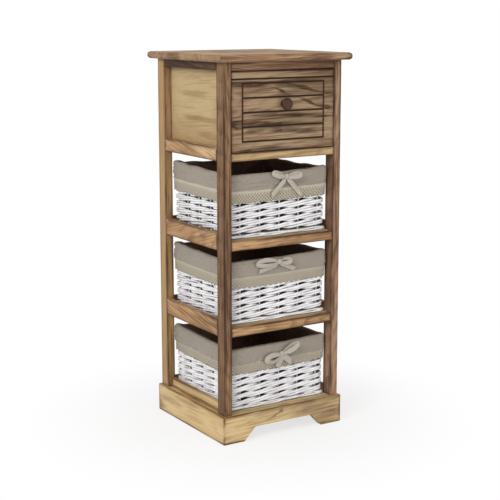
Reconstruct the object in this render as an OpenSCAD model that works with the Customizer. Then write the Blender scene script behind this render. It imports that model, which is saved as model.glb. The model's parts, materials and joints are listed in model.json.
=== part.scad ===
// Tall bathroom cabinet in flamed solid wood: four posts on a mitred base,
// one drawer under the top, and three open bays that each hold a lined willow basket.
// Millimetres, Z up. The origin is on the floor under the middle, the front faces -Y.

/* [Plan] */
// Width of the base over its side boards
base_w = 334; // [318:2:370]
// Depth of the base beyond the length of the drawer box
behind_drawer = 65; // [52:1:90]
// How far the posts stand in from the faces of the base
post_inset = 6; // [4:1:8]
// How far the top reaches past the base on every side
top_overhang = 12; // [8:1:16]
// How far the faces of the front rails lie behind the faces of the posts
rail_set = 0.5; // [0:0.25:2]
// Flat taken off the long edges of the boards
edge_ease = 1; // [0.5:0.1:1.5]

/* [Heights] */
// Height of the base
base_h = 68; // [62:1:90]
// Clear height of the bottom bay
bay_bottom_h = 187; // [178:1:220]
// Clear height of the middle bay
bay_middle_h = 180; // [174:1:220]
// Clear height of the top bay
bay_top_h = 183; // [174:1:220]
// Clear height of the opening for the drawer
drawer_opening_h = 184; // [160:1:220]

/* [Boards] */
// Width of a post seen from the front
post_w = 20; // [18:1:24]
// Depth of a post seen from the side
post_d = 32; // [28:1:36]
// Thickness of the top
top_t = 17; // [15:0.5:20]
// Rounding of the edges of the top
top_round = 7; // [4:0.5:7]
// Depth of the front rails, front to back
rail_d = 20; // [17:1:24]
// Height of the rails under the top
top_rail_h = 19; // [16:1:24]
// Height of the front rail under the drawer
drawer_rail_h = 18; // [15:1:22]
// Height of the side and rear rails beside the drawer
drawer_side_rail_h = 30; // [26:1:40]
// Height of the front rail of a shelf
shelf_rail_h = 22; // [18:1:28]
// How far the side and rear rails rise above a shelf
guide_rise = 18; // [12:1:24]
// Thickness of the side and rear rails of a shelf
tray_rail_t = 12; // [10:1:14]
// Thickness of a shelf
shelf_t = 6; // [4:0.5:9]
// Depth of the grooves that hold a shelf
shelf_groove = 4; // [3:0.5:6]
// Thickness of the side and back panels round the drawer
panel_t = 4; // [3:0.5:6]

/* [Base] */
// Thickness of the base boards
base_board_t = 18; // [16:1:20]
// Width of a foot of the front board at the floor
foot_w = 56; // [40:1:70]
// Sideways run of the slope from a foot to the top of the cut-out
foot_slope = 31; // [15:1:40]
// Height of the cut-out in the front board
cutout_h = 31.5; // [20:0.5:40]
// Thickness of the floor of the bottom bay
base_floor_t = 8; // [6:1:10]
// Thickness of the guides on the floor of the bottom bay
base_guide_t = 8; // [6:1:8]
// Height of those guides
base_guide_h = 22; // [15:1:30]
// Width of a corner block
block_w = 30; // [24:1:40]
// Depth of a corner block
block_d = 40; // [32:1:50]
// Height of a corner block
block_h = 44; // [36:1:50]
// Side of the square cleats under the floor
cleat = 12; // [10:1:16]

/* [Drawer] */
// Gap round the drawer front
drawer_gap = 1.5; // [1:0.1:2.5]
// Thickness of the drawer front
drawer_front_t = 15; // [12:0.5:18]
// How far the drawer front lies behind the faces of the posts
drawer_set = 1.5; // [1:0.25:3]
// Length of the drawer box behind the front
drawer_len = 255; // [235:1:300]
// Height of the drawer sides
drawer_side_h = 120; // [80:5:140]
// Thickness of the drawer sides and back
drawer_side_t = 10; // [8:1:12]
// Gap between a drawer side and the panel beside it
drawer_side_gap = 3; // [2:0.5:5]
// Thickness of the drawer bottom
drawer_bottom_t = 4; // [3:0.5:6]
// Depth of the grooves that hold the drawer bottom
drawer_groove = 4; // [3:0.5:5]
// Height of that groove above the lower edge of the sides
drawer_groove_up = 8; // [6:1:12]
// Width of a runner
runner_w = 14; // [12:1:18]
// Height of the stop at the rear of a runner
stop_h = 20; // [12:1:30]
// Width of the V grooves in the drawer front
vee_w = 2.6; // [1.6:0.2:4]
// Distance of the framing grooves from the ends of the drawer front
frame_side = 28.5; // [20:0.5:40]
// Distance of the upper framing groove from the upper edge
frame_top = 27; // [24:0.5:40]
// Distance of the lower framing groove from the lower edge
frame_bottom = 23.7; // [18:0.5:40]
// Distance of the single groove from the upper edge
upper_vee = 17.5; // [12:0.5:20]
// Number of plank strips inside the framing grooves
planks = 4; // [3:1:6]
// Diameter of the knob
knob_d = 28.6; // [24:0.2:34]
// Reach of the knob from the drawer front
knob_len = 19; // [16:0.5:19.5]
// Diameter of the neck of the knob
knob_neck_d = 14; // [11:0.5:18]
// Thickness of the disc of the knob
knob_disc_t = 10; // [8:0.5:12]

/* [Baskets] */
// Gap between a basket and the rear rail of its bay
basket_rear_gap = 10; // [6:1:24]
// Overall height of a basket
basket_h = 150; // [135:1:160]
// How far a basket stands behind the faces of the posts
basket_set = 18; // [16:1:20]
// Gap between a basket and the post beside it
basket_gap = 3; // [2.5:0.5:8]
// How much wider a basket is at the rim than at the floor, on each side
basket_flare = 4; // [2:0.5:6]
// Radius of the corners at the line of the stakes
basket_round = 12; // [11:1:30]
// Diameter of a stake
stake_d = 4; // [3:0.5:5]
// Number of stakes, a multiple of three
stakes = 18; // [15:3:21]
// Distance of the first stake from the middle of the front
stake_shift = 7; // [0:1:40]
// Number of woven rows that are not hidden by the cloth
weave_rows = 5; // [3:1:6]
// Height of a woven rod
rod_w = 5; // [4:0.1:6]
// Thickness of a woven rod
rod_t = 4.2; // [3:0.1:5]
// Room between a stake and the rods that pass it
rod_room = 0.6; // [0.5:0.1:1]
// Gap between the rods of a row where they pass a stake
rod_gap = 0.4; // [0.3:0.1:1]
// Least gap between two rows
row_gap = 0.8; // [0.4:0.1:2]
// Room between the woven rods and the cloth
cloth_room = 1.2; // [0.5:0.1:2]
// Thickness of the base of a basket
basket_base_t = 8; // [6:1:10]
// Height of the border under the cloth
border_h = 10; // [8:1:14]
// Thickness of the cloth
cloth_t = 1.5; // [1:0.1:2]
// Radius of the corners of the cloth outside the basket
cloth_round = 13; // [10:1:20]
// Radius of the corners of the lining inside the basket
lining_round = 7; // [4:1:16]
// Height of the cloth that is folded over the rim
fold_h = 38; // [28:1:46]
// Height of the lace below it
lace_h = 26; // [18:1:32]
// Depth of the soft folds in the cloth
fold_ripple = 0.8; // [0:0.1:1.2]
// Width of the ribbon of a bow
ribbon_w = 12; // [8:1:15]
// Thickness of a bow
bow_t = 2.4; // [1.5:0.1:3]

/* [Fastenings] */
// Diameter of the wood screws
screw_d = 4; // [3.5:0.1:4.5]
// Diameter of the heads of the wood screws
screw_head_d = 8; // [7:0.5:9]
// Distance of the screws in the top from the middle
top_screw_x = 90; // [60:5:110]
// Length of the screws in the top
top_screw_len = 30; // [25:1:33]
// Length of the screws in the posts
post_screw_len = 60; // [50:1:70]

/* [Fits] */
// Clearance where one piece sits in another
fit = 0.3; // [0.2:0.05:0.4]
// Clearance round a screw
bore_gap = 0.3; // [0.2:0.05:0.5]

/* [Hidden] */
$fn = 48;
SIDE_COLOUR = [0.73, 0.60, 0.42];
POST_COLOUR = [0.50, 0.38, 0.27];
RAIL_COLOUR = [0.62, 0.48, 0.34];
LIGHT_COLOUR = [0.74, 0.62, 0.40];
BASE_COLOUR = [0.80, 0.69, 0.49];
PLY_COLOUR = [0.83, 0.76, 0.62];
FRONT_COLOUR = [0.60, 0.47, 0.36];
KNOB_COLOUR = [0.42, 0.28, 0.21];
STEEL_COLOUR = [0.72, 0.72, 0.74];
WILLOW_COLOUR = [0.95, 0.95, 0.96];
CLOTH_COLOUR = [0.66, 0.62, 0.57];
BOW_COLOUR = [0.70, 0.66, 0.60];

// Plan: the depth follows the drawer, then the outer faces of the posts, and the clear
// opening between them
base_d = drawer_len + behind_drawer;
half_w = base_w / 2;
half_d = base_d / 2;
post_x = half_w - post_inset;
post_y = half_d - post_inset;
open_x = post_x - post_w;
open_y = post_y - post_d;
top_x = half_w + top_overhang;
top_y = half_d + top_overhang;
base_in_x = half_w - base_board_t;
base_in_y = half_d - base_board_t;
tray_in_x = post_x - tray_rail_t;
tray_in_y = post_y - tray_rail_t;
rail_front_y = rail_set - post_y;
rail_back_y = rail_front_y + rail_d;

// Levels, counted up from the floor
low_rail_z = base_h + bay_bottom_h;
low_shelf_z = low_rail_z + shelf_rail_h;
up_rail_z = low_shelf_z + bay_middle_h;
up_shelf_z = up_rail_z + shelf_rail_h;
drawer_rail_z = up_shelf_z + bay_top_h;
drawer_floor_z = drawer_rail_z + drawer_rail_h;
top_rail_z = drawer_floor_z + drawer_opening_h;
top_z = top_rail_z + top_rail_h;

// Drawer
front_y = drawer_set - post_y;
front_back_y = front_y + drawer_front_t;
front_x = open_x - drawer_gap;
front_z = drawer_floor_z + drawer_gap;
front_h = drawer_opening_h - 2 * drawer_gap;
panel_in_x = open_x - panel_t;
side_out_x = panel_in_x - drawer_side_gap;
side_in_x = side_out_x - drawer_side_t;
box_back_y = front_back_y + drawer_len;
box_z = drawer_floor_z + fit;
bottom_z = box_z + drawer_groove_up;
frame_z0 = front_z + frame_bottom;
frame_z1 = front_z + front_h - frame_top;
plank_h = (frame_z1 - frame_z0) / planks;
knob_z = frame_z1 - 1.5 * plank_h;
knob_bore_len = knob_len * 0.6;
vee_past = vee_w * 0.3;
screw_head_h = 2.5;
counterbore_len = 20;

// Baskets: rods in front of and behind the stakes, and the cloth on both sides of them
rod_out = stake_d / 2 + rod_room + rod_t / 2;
rod_rise = rod_w + rod_gap;
row_pitch = 2 * rod_rise + rod_w + row_gap;
cloth_out = rod_out + rod_t / 2 + cloth_room;
skirt_out = cloth_out + cloth_t;
// The overall depth of a basket, then half sizes of the line that the stakes stand on, at the rim
basket_d = tray_in_y - basket_rear_gap + post_y - basket_set;
rim_x = open_x - basket_gap - skirt_out;
rim_y = basket_d / 2 - skirt_out;
basket_y = basket_set - post_y + basket_d / 2;
first_row_z = basket_base_t + rod_rise + rod_w / 2 + fit;
border_z = basket_h - cloth_t - fit - border_h;
skirt_z = basket_h - fold_h;
lace_z = skirt_z - lace_h;
basket_levels = [up_shelf_z + fit, low_shelf_z + fit, base_h + fit];

// Each bow: its knot, then straps as [start, end], seen from the front,
// in millimetres from the middle of the basket and down from its rim
bow_knots = [[16, -13], [-3, -11], [5, -26]];
bow_straps = [
    [[[16, -13], [-16, -8]], [[16, -13], [48, -12]], [[14, -13], [-22, -52]], [[18, -13], [58, -54]]],
    [[[-3, -11], [-60, -10]], [[-3, -13], [-56, -20]], [[-3, -11], [38, -32]], [[-1, -10], [26, -12]]],
    [[[5, -26], [44, -8]], [[5, -28], [-38, -33]], [[3, -30], [-12, -50]], [[7, -28], [12, -58]]]
];

// Pieces are drawn for the right and the rear, and mirrored for the other side
module on_side(side) {
    if (side < 0) mirror([1, 0, 0]) children();
    else children();
}

module on_end(end) {
    if (end < 0) mirror([0, 1, 0]) children();
    else children();
}

// Section of a board with its four edges eased
module eased(w, h) {
    e = edge_ease;
    polygon([[e, 0], [w - e, 0], [w, e], [w, h - e], [w - e, h], [e, h], [0, h - e], [0, e]]);
}

// Boards by their low corner and size, with the grain along X, Y or Z
module board_x(low, size) {
    translate(low) rotate([90, 0, 90]) linear_extrude(size.x) eased(size.y, size.z);
}

module board_y(low, size) {
    translate([low.x, low.y + size.y, low.z])
        rotate([90, 0, 0]) linear_extrude(size.y) eased(size.x, size.z);
}

module board_z(low, size) {
    translate(low) linear_extrude(size.z) eased(size.x, size.y);
}

// A countersunk wood screw that points up, with its head at the origin
module wood_screw(len) {
    cylinder(d1 = screw_head_d, d2 = screw_d, h = screw_head_h);
    cylinder(d = screw_d, h = len);
}

// The hole for it
module screw_hole(len) {
    d = screw_d + bore_gap;
    translate([0, 0, -1]) cylinder(d = d, h = len + 2);
    translate([0, 0, -0.01]) cylinder(d1 = screw_head_d + bore_gap, d2 = d, h = screw_head_h + bore_gap);
}

// Where the screws of the top stand, in the front and the rear rail
function top_screws() = [
    for (x = [-top_screw_x, top_screw_x], y = [rail_front_y + rail_d / 2, tray_in_y + tray_rail_t / 2]) [x, y]
];

// Where the screw of the right rear post stands
post_screw_x = (open_x + base_in_x) / 2;
post_screw_y = (open_y + base_in_y) / 2;
block_z = base_h - base_floor_t - block_h;
post_screw_z = block_z + counterbore_len;
pilot_len = post_screw_z + post_screw_len + 1 - base_h;

// Top: a rounded edge along all four sides, mitred at the corners
module rounded_bar(w, t) {
    r = top_round;
    translate([r, 0]) square([w - 2 * r, t]);
    translate([0, r]) square([w, t - 2 * r]);
    for (x = [r, w - r], y = [r, t - r]) translate([x, y]) circle(r = r);
}

module top() {
    color(RAIL_COLOUR) difference() {
        translate([0, 0, top_z]) intersection() {
            translate([-top_x, -top_y, 0]) rotate([90, 0, 90]) linear_extrude(2 * top_x) rounded_bar(2 * top_y, top_t);
            translate([-top_x, top_y, 0]) rotate([90, 0, 0]) linear_extrude(2 * top_y) rounded_bar(2 * top_x, top_t);
        }
        for (p = top_screws())
            translate([p.x, p.y, top_z - 1])
                cylinder(d = screw_d + bore_gap, h = top_screw_len - top_rail_h + 2);
    }
}

module post(side, end) {
    color(POST_COLOUR) on_side(side) on_end(end) difference() {
        board_z([open_x, open_y, base_h], [post_w, post_d, top_z - base_h]);
        translate([post_screw_x, post_screw_y, base_h - 1]) cylinder(d = screw_d + bore_gap, h = pilot_len + 1);
    }
}

// Rails round the drawer
module top_rail_front() {
    color(RAIL_COLOUR) difference() {
        board_x([-open_x, rail_front_y, top_rail_z], [2 * open_x, rail_d, top_rail_h]);
        for (p = top_screws()) translate([p.x, p.y, top_rail_z]) screw_hole(top_rail_h);
    }
}

module top_rail_rear() {
    color(RAIL_COLOUR) difference() {
        board_x([-open_x, tray_in_y, top_rail_z], [2 * open_x, tray_rail_t, top_rail_h]);
        for (p = top_screws()) translate([p.x, p.y, top_rail_z]) screw_hole(top_rail_h);
    }
}

module top_rail_side(side) {
    color(RAIL_COLOUR) on_side(side)
        board_y([open_x, -open_y, top_rail_z], [post_w, 2 * open_y, top_rail_h]);
}

module drawer_rail_front() {
    color(LIGHT_COLOUR)
        board_x([-open_x, rail_front_y, drawer_rail_z], [2 * open_x, rail_d, drawer_rail_h]);
}

module drawer_rail_rear() {
    color(RAIL_COLOUR)
        board_x([-open_x, tray_in_y, drawer_rail_z], [2 * open_x, tray_rail_t, drawer_side_rail_h]);
}

module drawer_rail_side(side) {
    color(RAIL_COLOUR) on_side(side)
        board_y([open_x, -open_y, drawer_rail_z], [post_w, 2 * open_y, drawer_side_rail_h]);
}

module side_panel(side) {
    color(LIGHT_COLOUR) on_side(side)
        translate([panel_in_x, rail_back_y, drawer_rail_z])
            cube([panel_t, tray_in_y - panel_t - rail_back_y, top_z - drawer_rail_z]);
}

module back_panel() {
    color(PLY_COLOUR)
        translate([-open_x, tray_in_y - panel_t, drawer_rail_z])
            cube([2 * open_x, panel_t, top_z - drawer_rail_z]);
}

// A runner lies against the side panel, with a block at its rear that stops the drawer
module runner(side) {
    stop_y = box_back_y + fit;
    color(PLY_COLOUR) on_side(side) {
        translate([panel_in_x - runner_w, rail_back_y, drawer_rail_z])
            cube([runner_w, tray_in_y - panel_t - rail_back_y, drawer_rail_h]);
        translate([panel_in_x - runner_w, stop_y, drawer_rail_z])
            cube([runner_w, tray_in_y - panel_t - stop_y, drawer_rail_h + stop_h]);
    }
}

// A shelf is a tray: a low front rail, higher side and rear rails, and a board in their grooves
module shelf_rail_front(z, tint) {
    color(tint) difference() {
        board_x([-open_x, rail_front_y, z], [2 * open_x, rail_d, shelf_rail_h]);
        translate([-open_x - 1, rail_back_y - shelf_groove - fit, z + shelf_rail_h - shelf_t])
            cube([2 * open_x + 2, shelf_groove + fit + 1, shelf_t + 1]);
    }
}

module shelf_rail_rear(z) {
    color(RAIL_COLOUR) difference() {
        board_x([-open_x, tray_in_y, z], [2 * open_x, tray_rail_t, shelf_rail_h + guide_rise]);
        translate([-open_x - 1, tray_in_y - 1, z + shelf_rail_h - shelf_t - fit])
            cube([2 * open_x + 2, shelf_groove + 1, shelf_t + 2 * fit]);
    }
}

module shelf_rail_side(side, z) {
    color(RAIL_COLOUR) on_side(side) difference() {
        board_y([tray_in_x, -open_y, z], [tray_rail_t, 2 * open_y, shelf_rail_h + guide_rise]);
        translate([tray_in_x - 1, -open_y - 1, z + shelf_rail_h - shelf_t - fit])
            cube([shelf_groove + 1, 2 * open_y + 2, shelf_t + 2 * fit]);
    }
}

module shelf_board(z) {
    long_y0 = rail_back_y - shelf_groove;
    long_y1 = tray_in_y + shelf_groove - fit;
    wide_x = tray_in_x + shelf_groove - fit;
    color(PLY_COLOUR) translate([0, 0, z + shelf_rail_h - shelf_t]) {
        translate([fit - open_x, long_y0, 0]) cube([2 * (open_x - fit), long_y1 - long_y0, shelf_t]);
        translate([-wide_x, fit - open_y, 0]) cube([2 * wide_x, 2 * (open_y - fit), shelf_t]);
    }
}

// Base boards meet in mitres; each is drawn for the front or the right
module base_mitre(half_len, half_gap, t) {
    polygon([[-half_len, -half_gap - t], [half_len, -half_gap - t], [half_len - t, -half_gap], [t - half_len, -half_gap]]);
}

module base_front() {
    color(BASE_COLOUR) difference() {
        intersection() {
            board_x([-half_w, -half_d, 0], [base_w, base_board_t, base_h]);
            translate([0, 0, -1]) linear_extrude(base_h + 2) base_mitre(half_w, base_in_y, base_board_t);
        }
        translate([0, 1 - base_in_y, 0]) rotate([90, 0, 0]) linear_extrude(base_board_t + 2)
            polygon([
                [foot_w - half_w - foot_slope / cutout_h, -1], [half_w - foot_w + foot_slope / cutout_h, -1],
                [half_w - foot_w - foot_slope, cutout_h], [foot_w + foot_slope - half_w, cutout_h]
            ]);
    }
}

module base_rear() {
    color(BASE_COLOUR) intersection() {
        board_x([-half_w, base_in_y, 0], [base_w, base_board_t, base_h]);
        translate([0, 0, -1]) linear_extrude(base_h + 2) mirror([0, 1]) base_mitre(half_w, base_in_y, base_board_t);
    }
}

module base_side(side) {
    color(BASE_COLOUR) on_side(side) intersection() {
        board_y([base_in_x, -half_d, 0], [base_board_t, base_d, base_h]);
        translate([0, 0, -1]) linear_extrude(base_h + 2) rotate(90) base_mitre(half_d, base_in_x, base_board_t);
    }
}

module base_floor() {
    color(PLY_COLOUR) difference() {
        translate([-base_in_x, -base_in_y, base_h - base_floor_t])
            cube([2 * base_in_x, 2 * base_in_y, base_floor_t]);
        for (x = [-1, 1], y = [-1, 1])
            translate([x * post_screw_x, y * post_screw_y, base_h - base_floor_t - 1])
                cylinder(d = screw_d + bore_gap, h = base_floor_t + 2);
    }
}

module base_guide_side(side) {
    color(LIGHT_COLOUR) on_side(side)
        board_y([base_in_x - base_guide_t, -open_y, base_h], [base_guide_t, 2 * open_y, base_guide_h]);
}

module base_guide_rear() {
    color(LIGHT_COLOUR)
        board_x([-open_x, base_in_y - base_guide_t, base_h], [2 * open_x, base_guide_t, base_guide_h]);
}

module corner_blocks() {
    color(PLY_COLOUR) for (side = [-1, 1], end = [-1, 1]) on_side(side) on_end(end) difference() {
        translate([base_in_x - block_w, base_in_y - block_d, block_z]) cube([block_w, block_d, block_h]);
        translate([post_screw_x, post_screw_y, block_z - 1]) {
            cylinder(d = screw_d + bore_gap, h = block_h + 2);
            cylinder(d = screw_head_d + 2, h = counterbore_len + 1);
        }
    }
}

module base_cleats() {
    color(PLY_COLOUR) for (end = [-1, 1]) on_end(end)
        translate([block_w - base_in_x, base_in_y - cleat, base_h - base_floor_t - cleat])
            cube([2 * (base_in_x - block_w), cleat, cleat]);
}

module carcass_screws() {
    color(STEEL_COLOUR) {
        for (p = top_screws()) translate([p.x, p.y, top_rail_z]) wood_screw(top_screw_len);
        for (x = [-1, 1], y = [-1, 1])
            translate([x * post_screw_x, y * post_screw_y, post_screw_z]) {
                translate([0, 0, -screw_head_h]) cylinder(d = screw_head_d, h = screw_head_h);
                cylinder(d = screw_d, h = post_screw_len);
            }
    }
}

// A V groove on the drawer front from one point to another, seen from the front
module vee(from, to) {
    run = to - from;
    translate([from.x, front_y, from.y]) rotate([0, -atan2(run.y, run.x), 0])
        rotate([45, 0, 0]) translate([0, -vee_w / 2 / sqrt(2), -vee_w / 2 / sqrt(2)])
            cube([norm(run), vee_w / sqrt(2), vee_w / sqrt(2)]);
}

module drawer_front() {
    fx = front_x - frame_side;
    upper_z = front_z + front_h - upper_vee;
    color(FRONT_COLOUR) difference() {
        board_x([-front_x, front_y, front_z], [2 * front_x, drawer_front_t, front_h]);
        vee([-front_x - 1, upper_z], [front_x + 1, upper_z]);
        for (i = [0 : planks]) vee([-fx - vee_past, frame_z0 + i * plank_h], [fx + vee_past, frame_z0 + i * plank_h]);
        for (x = [-fx, fx]) vee([x, frame_z0 - vee_past], [x, frame_z1 + vee_past]);
        translate([-side_in_x - drawer_groove, front_back_y - drawer_groove, bottom_z])
            cube([2 * (side_in_x + drawer_groove), drawer_groove + 1, drawer_bottom_t + fit]);
        translate([0, front_back_y + 1, knob_z]) rotate([90, 0, 0])
            cylinder(d = screw_d + bore_gap, h = drawer_front_t + 2);
    }
}

module drawer_side(side) {
    color(PLY_COLOUR) on_side(side) difference() {
        board_y([side_in_x, front_back_y, box_z], [drawer_side_t, drawer_len, drawer_side_h]);
        translate([side_in_x - 1, front_back_y - 1, bottom_z])
            cube([drawer_groove + 1, drawer_len + 2, drawer_bottom_t + fit]);
    }
}

module drawer_back() {
    low = bottom_z + drawer_bottom_t;
    color(PLY_COLOUR)
        board_x([-side_in_x, box_back_y - drawer_side_t, low], [2 * side_in_x, drawer_side_t, box_z + drawer_side_h - low]);
}

module drawer_bottom() {
    x = side_in_x + drawer_groove - fit;
    y = front_back_y - drawer_groove + fit;
    color(PLY_COLOUR) translate([-x, y, bottom_z]) cube([2 * x, box_back_y - y, drawer_bottom_t]);
}

// Half section of the knob, with its axis on Y and its seat at zero
module knob_section() {
    edge = knob_disc_t / 2;
    disc_y = knob_len - knob_disc_t;
    difference() {
        union() {
            square([knob_neck_d / 2, knob_len - 1]);
            square([knob_neck_d / 2 + 2, 2]);
            translate([0, disc_y]) square([knob_d / 2 - edge, knob_disc_t]);
            translate([knob_d / 2 - edge, disc_y + edge]) circle(r = edge);
        }
        translate([-knob_d, -1]) square([knob_d, knob_len + 2]);
        translate([-1, -1]) square([screw_d / 2 + bore_gap / 2 + 1, knob_bore_len + 1]);
        translate([0, knob_len + 18.2]) circle(r = 19, $fn = 96);
    }
}

module drawer_knob() {
    color(KNOB_COLOUR) translate([0, front_y, knob_z]) rotate([90, 0, 0]) rotate_extrude() knob_section();
}

module knob_screw() {
    color(STEEL_COLOUR) translate([0, front_back_y, knob_z]) rotate([90, 0, 0]) {
        translate([0, 0, -screw_head_h]) cylinder(d = screw_head_d, h = screw_head_h);
        cylinder(d = screw_d, h = drawer_front_t + knob_bore_len - 1);
    }
}

// Baskets. The line of the stakes is a rounded rectangle; fraction u runs round it once,
// from the middle of the front and counter-clockwise seen from above
function loop_len(hx, hy, r) = 4 * (hx - r) + 4 * (hy - r) + 2 * PI * r;

function arc_at(cx, cy, r, angle) = [cx + r * cos(angle), cy + r * sin(angle), angle];

function loop_at(s, hx, hy, r) =
    let(a = hx - r, b = hy - r, q = PI * r / 2)
    s <= a ? [s, -hy, -90]
    : s <= a + q ? arc_at(a, -b, r, -90 + 90 * (s - a) / q)
    : s <= a + q + 2 * b ? [hx, s - a - q - b, 0]
    : s <= a + 2 * q + 2 * b ? arc_at(a, b, r, 90 * (s - a - q - 2 * b) / q)
    : s <= 3 * a + 2 * q + 2 * b ? [2 * a + 2 * q + 2 * b - s, hy, 90]
    : s <= 3 * a + 3 * q + 2 * b ? arc_at(-a, b, r, 90 + 90 * (s - 3 * a - 2 * q - 2 * b) / q)
    : s <= 3 * a + 3 * q + 4 * b ? [-hx, 3 * a + 3 * q + 3 * b - s, 180]
    : s <= 3 * a + 4 * q + 4 * b ? arc_at(-a, -b, r, 180 + 90 * (s - 3 * a - 3 * q - 4 * b) / q)
    : [s - 4 * a - 4 * q - 4 * b, -hy, 270];

function lean(z) = basket_flare * (z / basket_h - 1);

// Length of the line of the stakes at the rim, and where its corners start, turn and end,
// counted in stakes
rim_len = loop_len(rim_x, rim_y, basket_round);
corner_arc = PI * basket_round / 2;
corner_stops = [
    for (s = [
        rim_x - basket_round + corner_arc / 2,
        rim_x + 2 * rim_y - 3 * basket_round + 1.5 * corner_arc,
        3 * rim_x + 2 * rim_y - 5 * basket_round + 2.5 * corner_arc,
        3 * rim_x + 4 * rim_y - 7 * basket_round + 3.5 * corner_arc
    ], part = [-0.5, 0, 0.5]) (s + part * corner_arc - stake_shift) / rim_len * stakes
];

// A point beside the line of the stakes: i counts stakes, out is the distance outwards
function wall_at(i, out, z) =
    let(hx = rim_x + lean(z), hy = rim_y + lean(z), r = basket_round + lean(z),
        len = loop_len(hx, hy, r), s = (i / stakes + stake_shift / rim_len) * len,
        p = loop_at(s - len * floor(s / len), hx, hy, r))
    [p.x + out * cos(p[2]), p.y + out * sin(p[2]), z];

module rounded_rect(hx, hy, r) {
    square([2 * hx, 2 * (hy - r)], center = true);
    square([2 * (hx - r), 2 * hy], center = true);
    for (x = [r - hx, hx - r], y = [r - hy, hy - r]) translate([x, y]) circle(r = r);
}

// Outline of a basket at a height, moved outwards from the line of the stakes
module basket_outline(z, out) {
    grow = lean(z) + out;
    rounded_rect(rim_x + grow, rim_y + grow, basket_round + grow);
}

module basket_ring(z, h, inner, outer) {
    translate([0, 0, z]) linear_extrude(h) difference() {
        basket_outline(z + h / 2, outer);
        basket_outline(z + h / 2, inner);
    }
}

module rod(from, to, d) {
    run = to - from;
    translate(from) rotate([0, acos(run.z / norm(run)), atan2(run.y, run.x)])
        rotate(20) cylinder(d = d, h = norm(run), $fn = 24);
}

module at_basket(i) {
    translate([0, basket_y, basket_levels[i - 1]]) children();
}

module basket_frame(i) {
    color(WILLOW_COLOUR) at_basket(i) {
        linear_extrude(basket_base_t) basket_outline(basket_base_t / 2, stake_d);
        basket_ring(border_z, border_h, -stake_d, stake_d);
        for (k = [0 : stakes - 1])
            rod(wall_at(k, 0, basket_base_t / 2), wall_at(k, 0, border_z + border_h / 2), stake_d);
    }
}

// Each row is woven with three rods, and each rod passes in front of two stakes and behind
// the third. Counted in stakes from a pass behind a stake, the rod comes out at 0.5, rises
// steadily to 2.5, and falls again behind the next
WEAVE = [0, 0.5, 1, 2, 2.5];
function rod_side(t) = rod_out * lookup(t, [[0, -1], [0.5, 0], [1, 1], [2, 1], [2.5, 0], [3, -1]]);
function rod_up(t) = rod_rise * lookup(t, [[0, 0], [0.5, -1], [2.5, 1], [3, 0]]);

// Where a rod bends, counted in stakes, with the corners put in between
function woven_stops(start) =
    let(stops = [for (k = [0 : stakes / 3 - 1], t = WEAVE) start + 3 * k + t])
    [for (j = [0 : len(stops) - 1]) each concat([stops[j]], [
        for (turn = [0, stakes], c = corner_stops)
            if (c + turn > stops[j] + 0.04
                && c + turn < (j + 1 < len(stops) ? stops[j + 1] : start + stakes) - 0.04) c + turn
    ])];

module woven_rod(row, start) {
    stops = woven_stops(start);
    n = len(stops);
    points = [
        for (u = stops)
            let(t = (u - start) - 3 * floor((u - start) / 3), out = rod_side(t),
                z = first_row_z + row * row_pitch + rod_up(t))
            each [wall_at(u, out + rod_t / 2, z), wall_at(u, out, z + rod_w / 2),
                  wall_at(u, out - rod_t / 2, z), wall_at(u, out, z - rod_w / 2)]
    ];
    polyhedron(points, [
        for (k = [0 : n - 1], j = [0 : 3])
            let(a = k * 4 + j, b = k * 4 + (j + 1) % 4, c = (k + 1) % n * 4 + j, d = (k + 1) % n * 4 + (j + 1) % 4)
            each [[a, b, c], [b, d, c]]
    ], convexity = 10);
}

module basket_weave(i) {
    color(WILLOW_COLOUR) at_basket(i)
        for (row = [0 : weave_rows - 1], start = [0 : 2]) woven_rod(row, start);
}

// Stations round the lining: each corner has arc steps, each side straight steps
corner_steps = 5;
side_steps = 8;
stations = [
    for (c = [0 : 3]) each concat(
        [for (j = [0 : corner_steps]) [c, j / corner_steps, 0]],
        [for (j = [1 : side_steps - 1]) [c, 1, j / side_steps]])
];

function corner_mid(c, hx, hy, r) =
    [(c == 0 || c == 1 ? 1 : -1) * (hx - r), (c == 1 || c == 2 ? 1 : -1) * (hy - r)];

function corner_pt(c, f, hx, hy, r) =
    let(m = corner_mid(c % 4, hx, hy, r), angle = 90 * (c % 4 - 1 + f))
    [m.x + r * cos(angle), m.y + r * sin(angle)];

function station_pt(st, grow, r) =
    let(hx = rim_x + grow, hy = rim_y + grow)
    st[2] == 0 ? corner_pt(st[0], st[1], hx, hy, r)
    : corner_pt(st[0], 1, hx, hy, r) * (1 - st[2]) + corner_pt(st[0] + 1, 0, hx, hy, r) * st[2];

// Soft folds: waves along each side that grow from the rim towards the hem
function ripple(st, depth) = -fold_ripple * depth * (1 - cos(360 * 3 * st[2])) / 2;

function cloth_ring(z, out, depth) = [
    for (st = stations)
        let(p = station_pt(st, lean(z) + out + ripple(st, depth), out > 0 ? cloth_round : lining_round))
        [p.x, p.y, z]
];

// A closed skin through rings that all have the same number of points.
// The first and the last ring are closed by triangles that meet on the Z axis
module skin(rings) {
    n = len(rings[0]);
    m = len(rings);
    points = concat([for (ring = rings) each ring], [[0, 0, rings[0][0].z], [0, 0, rings[m - 1][0].z]]);
    sides = [for (k = [0 : m - 2], j = [0 : n - 1])
        each [[k * n + j, (k + 1) * n + j, k * n + (j + 1) % n],
              [k * n + (j + 1) % n, (k + 1) * n + j, (k + 1) * n + (j + 1) % n]]];
    first_cap = [for (j = [0 : n - 1]) [j, (j + 1) % n, m * n]];
    last_cap = [for (j = [0 : n - 1]) [(m - 1) * n + (j + 1) % n, (m - 1) * n + j, m * n + 1]];
    polyhedron(points, concat(first_cap, sides, last_cap), convexity = 10);
}

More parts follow.
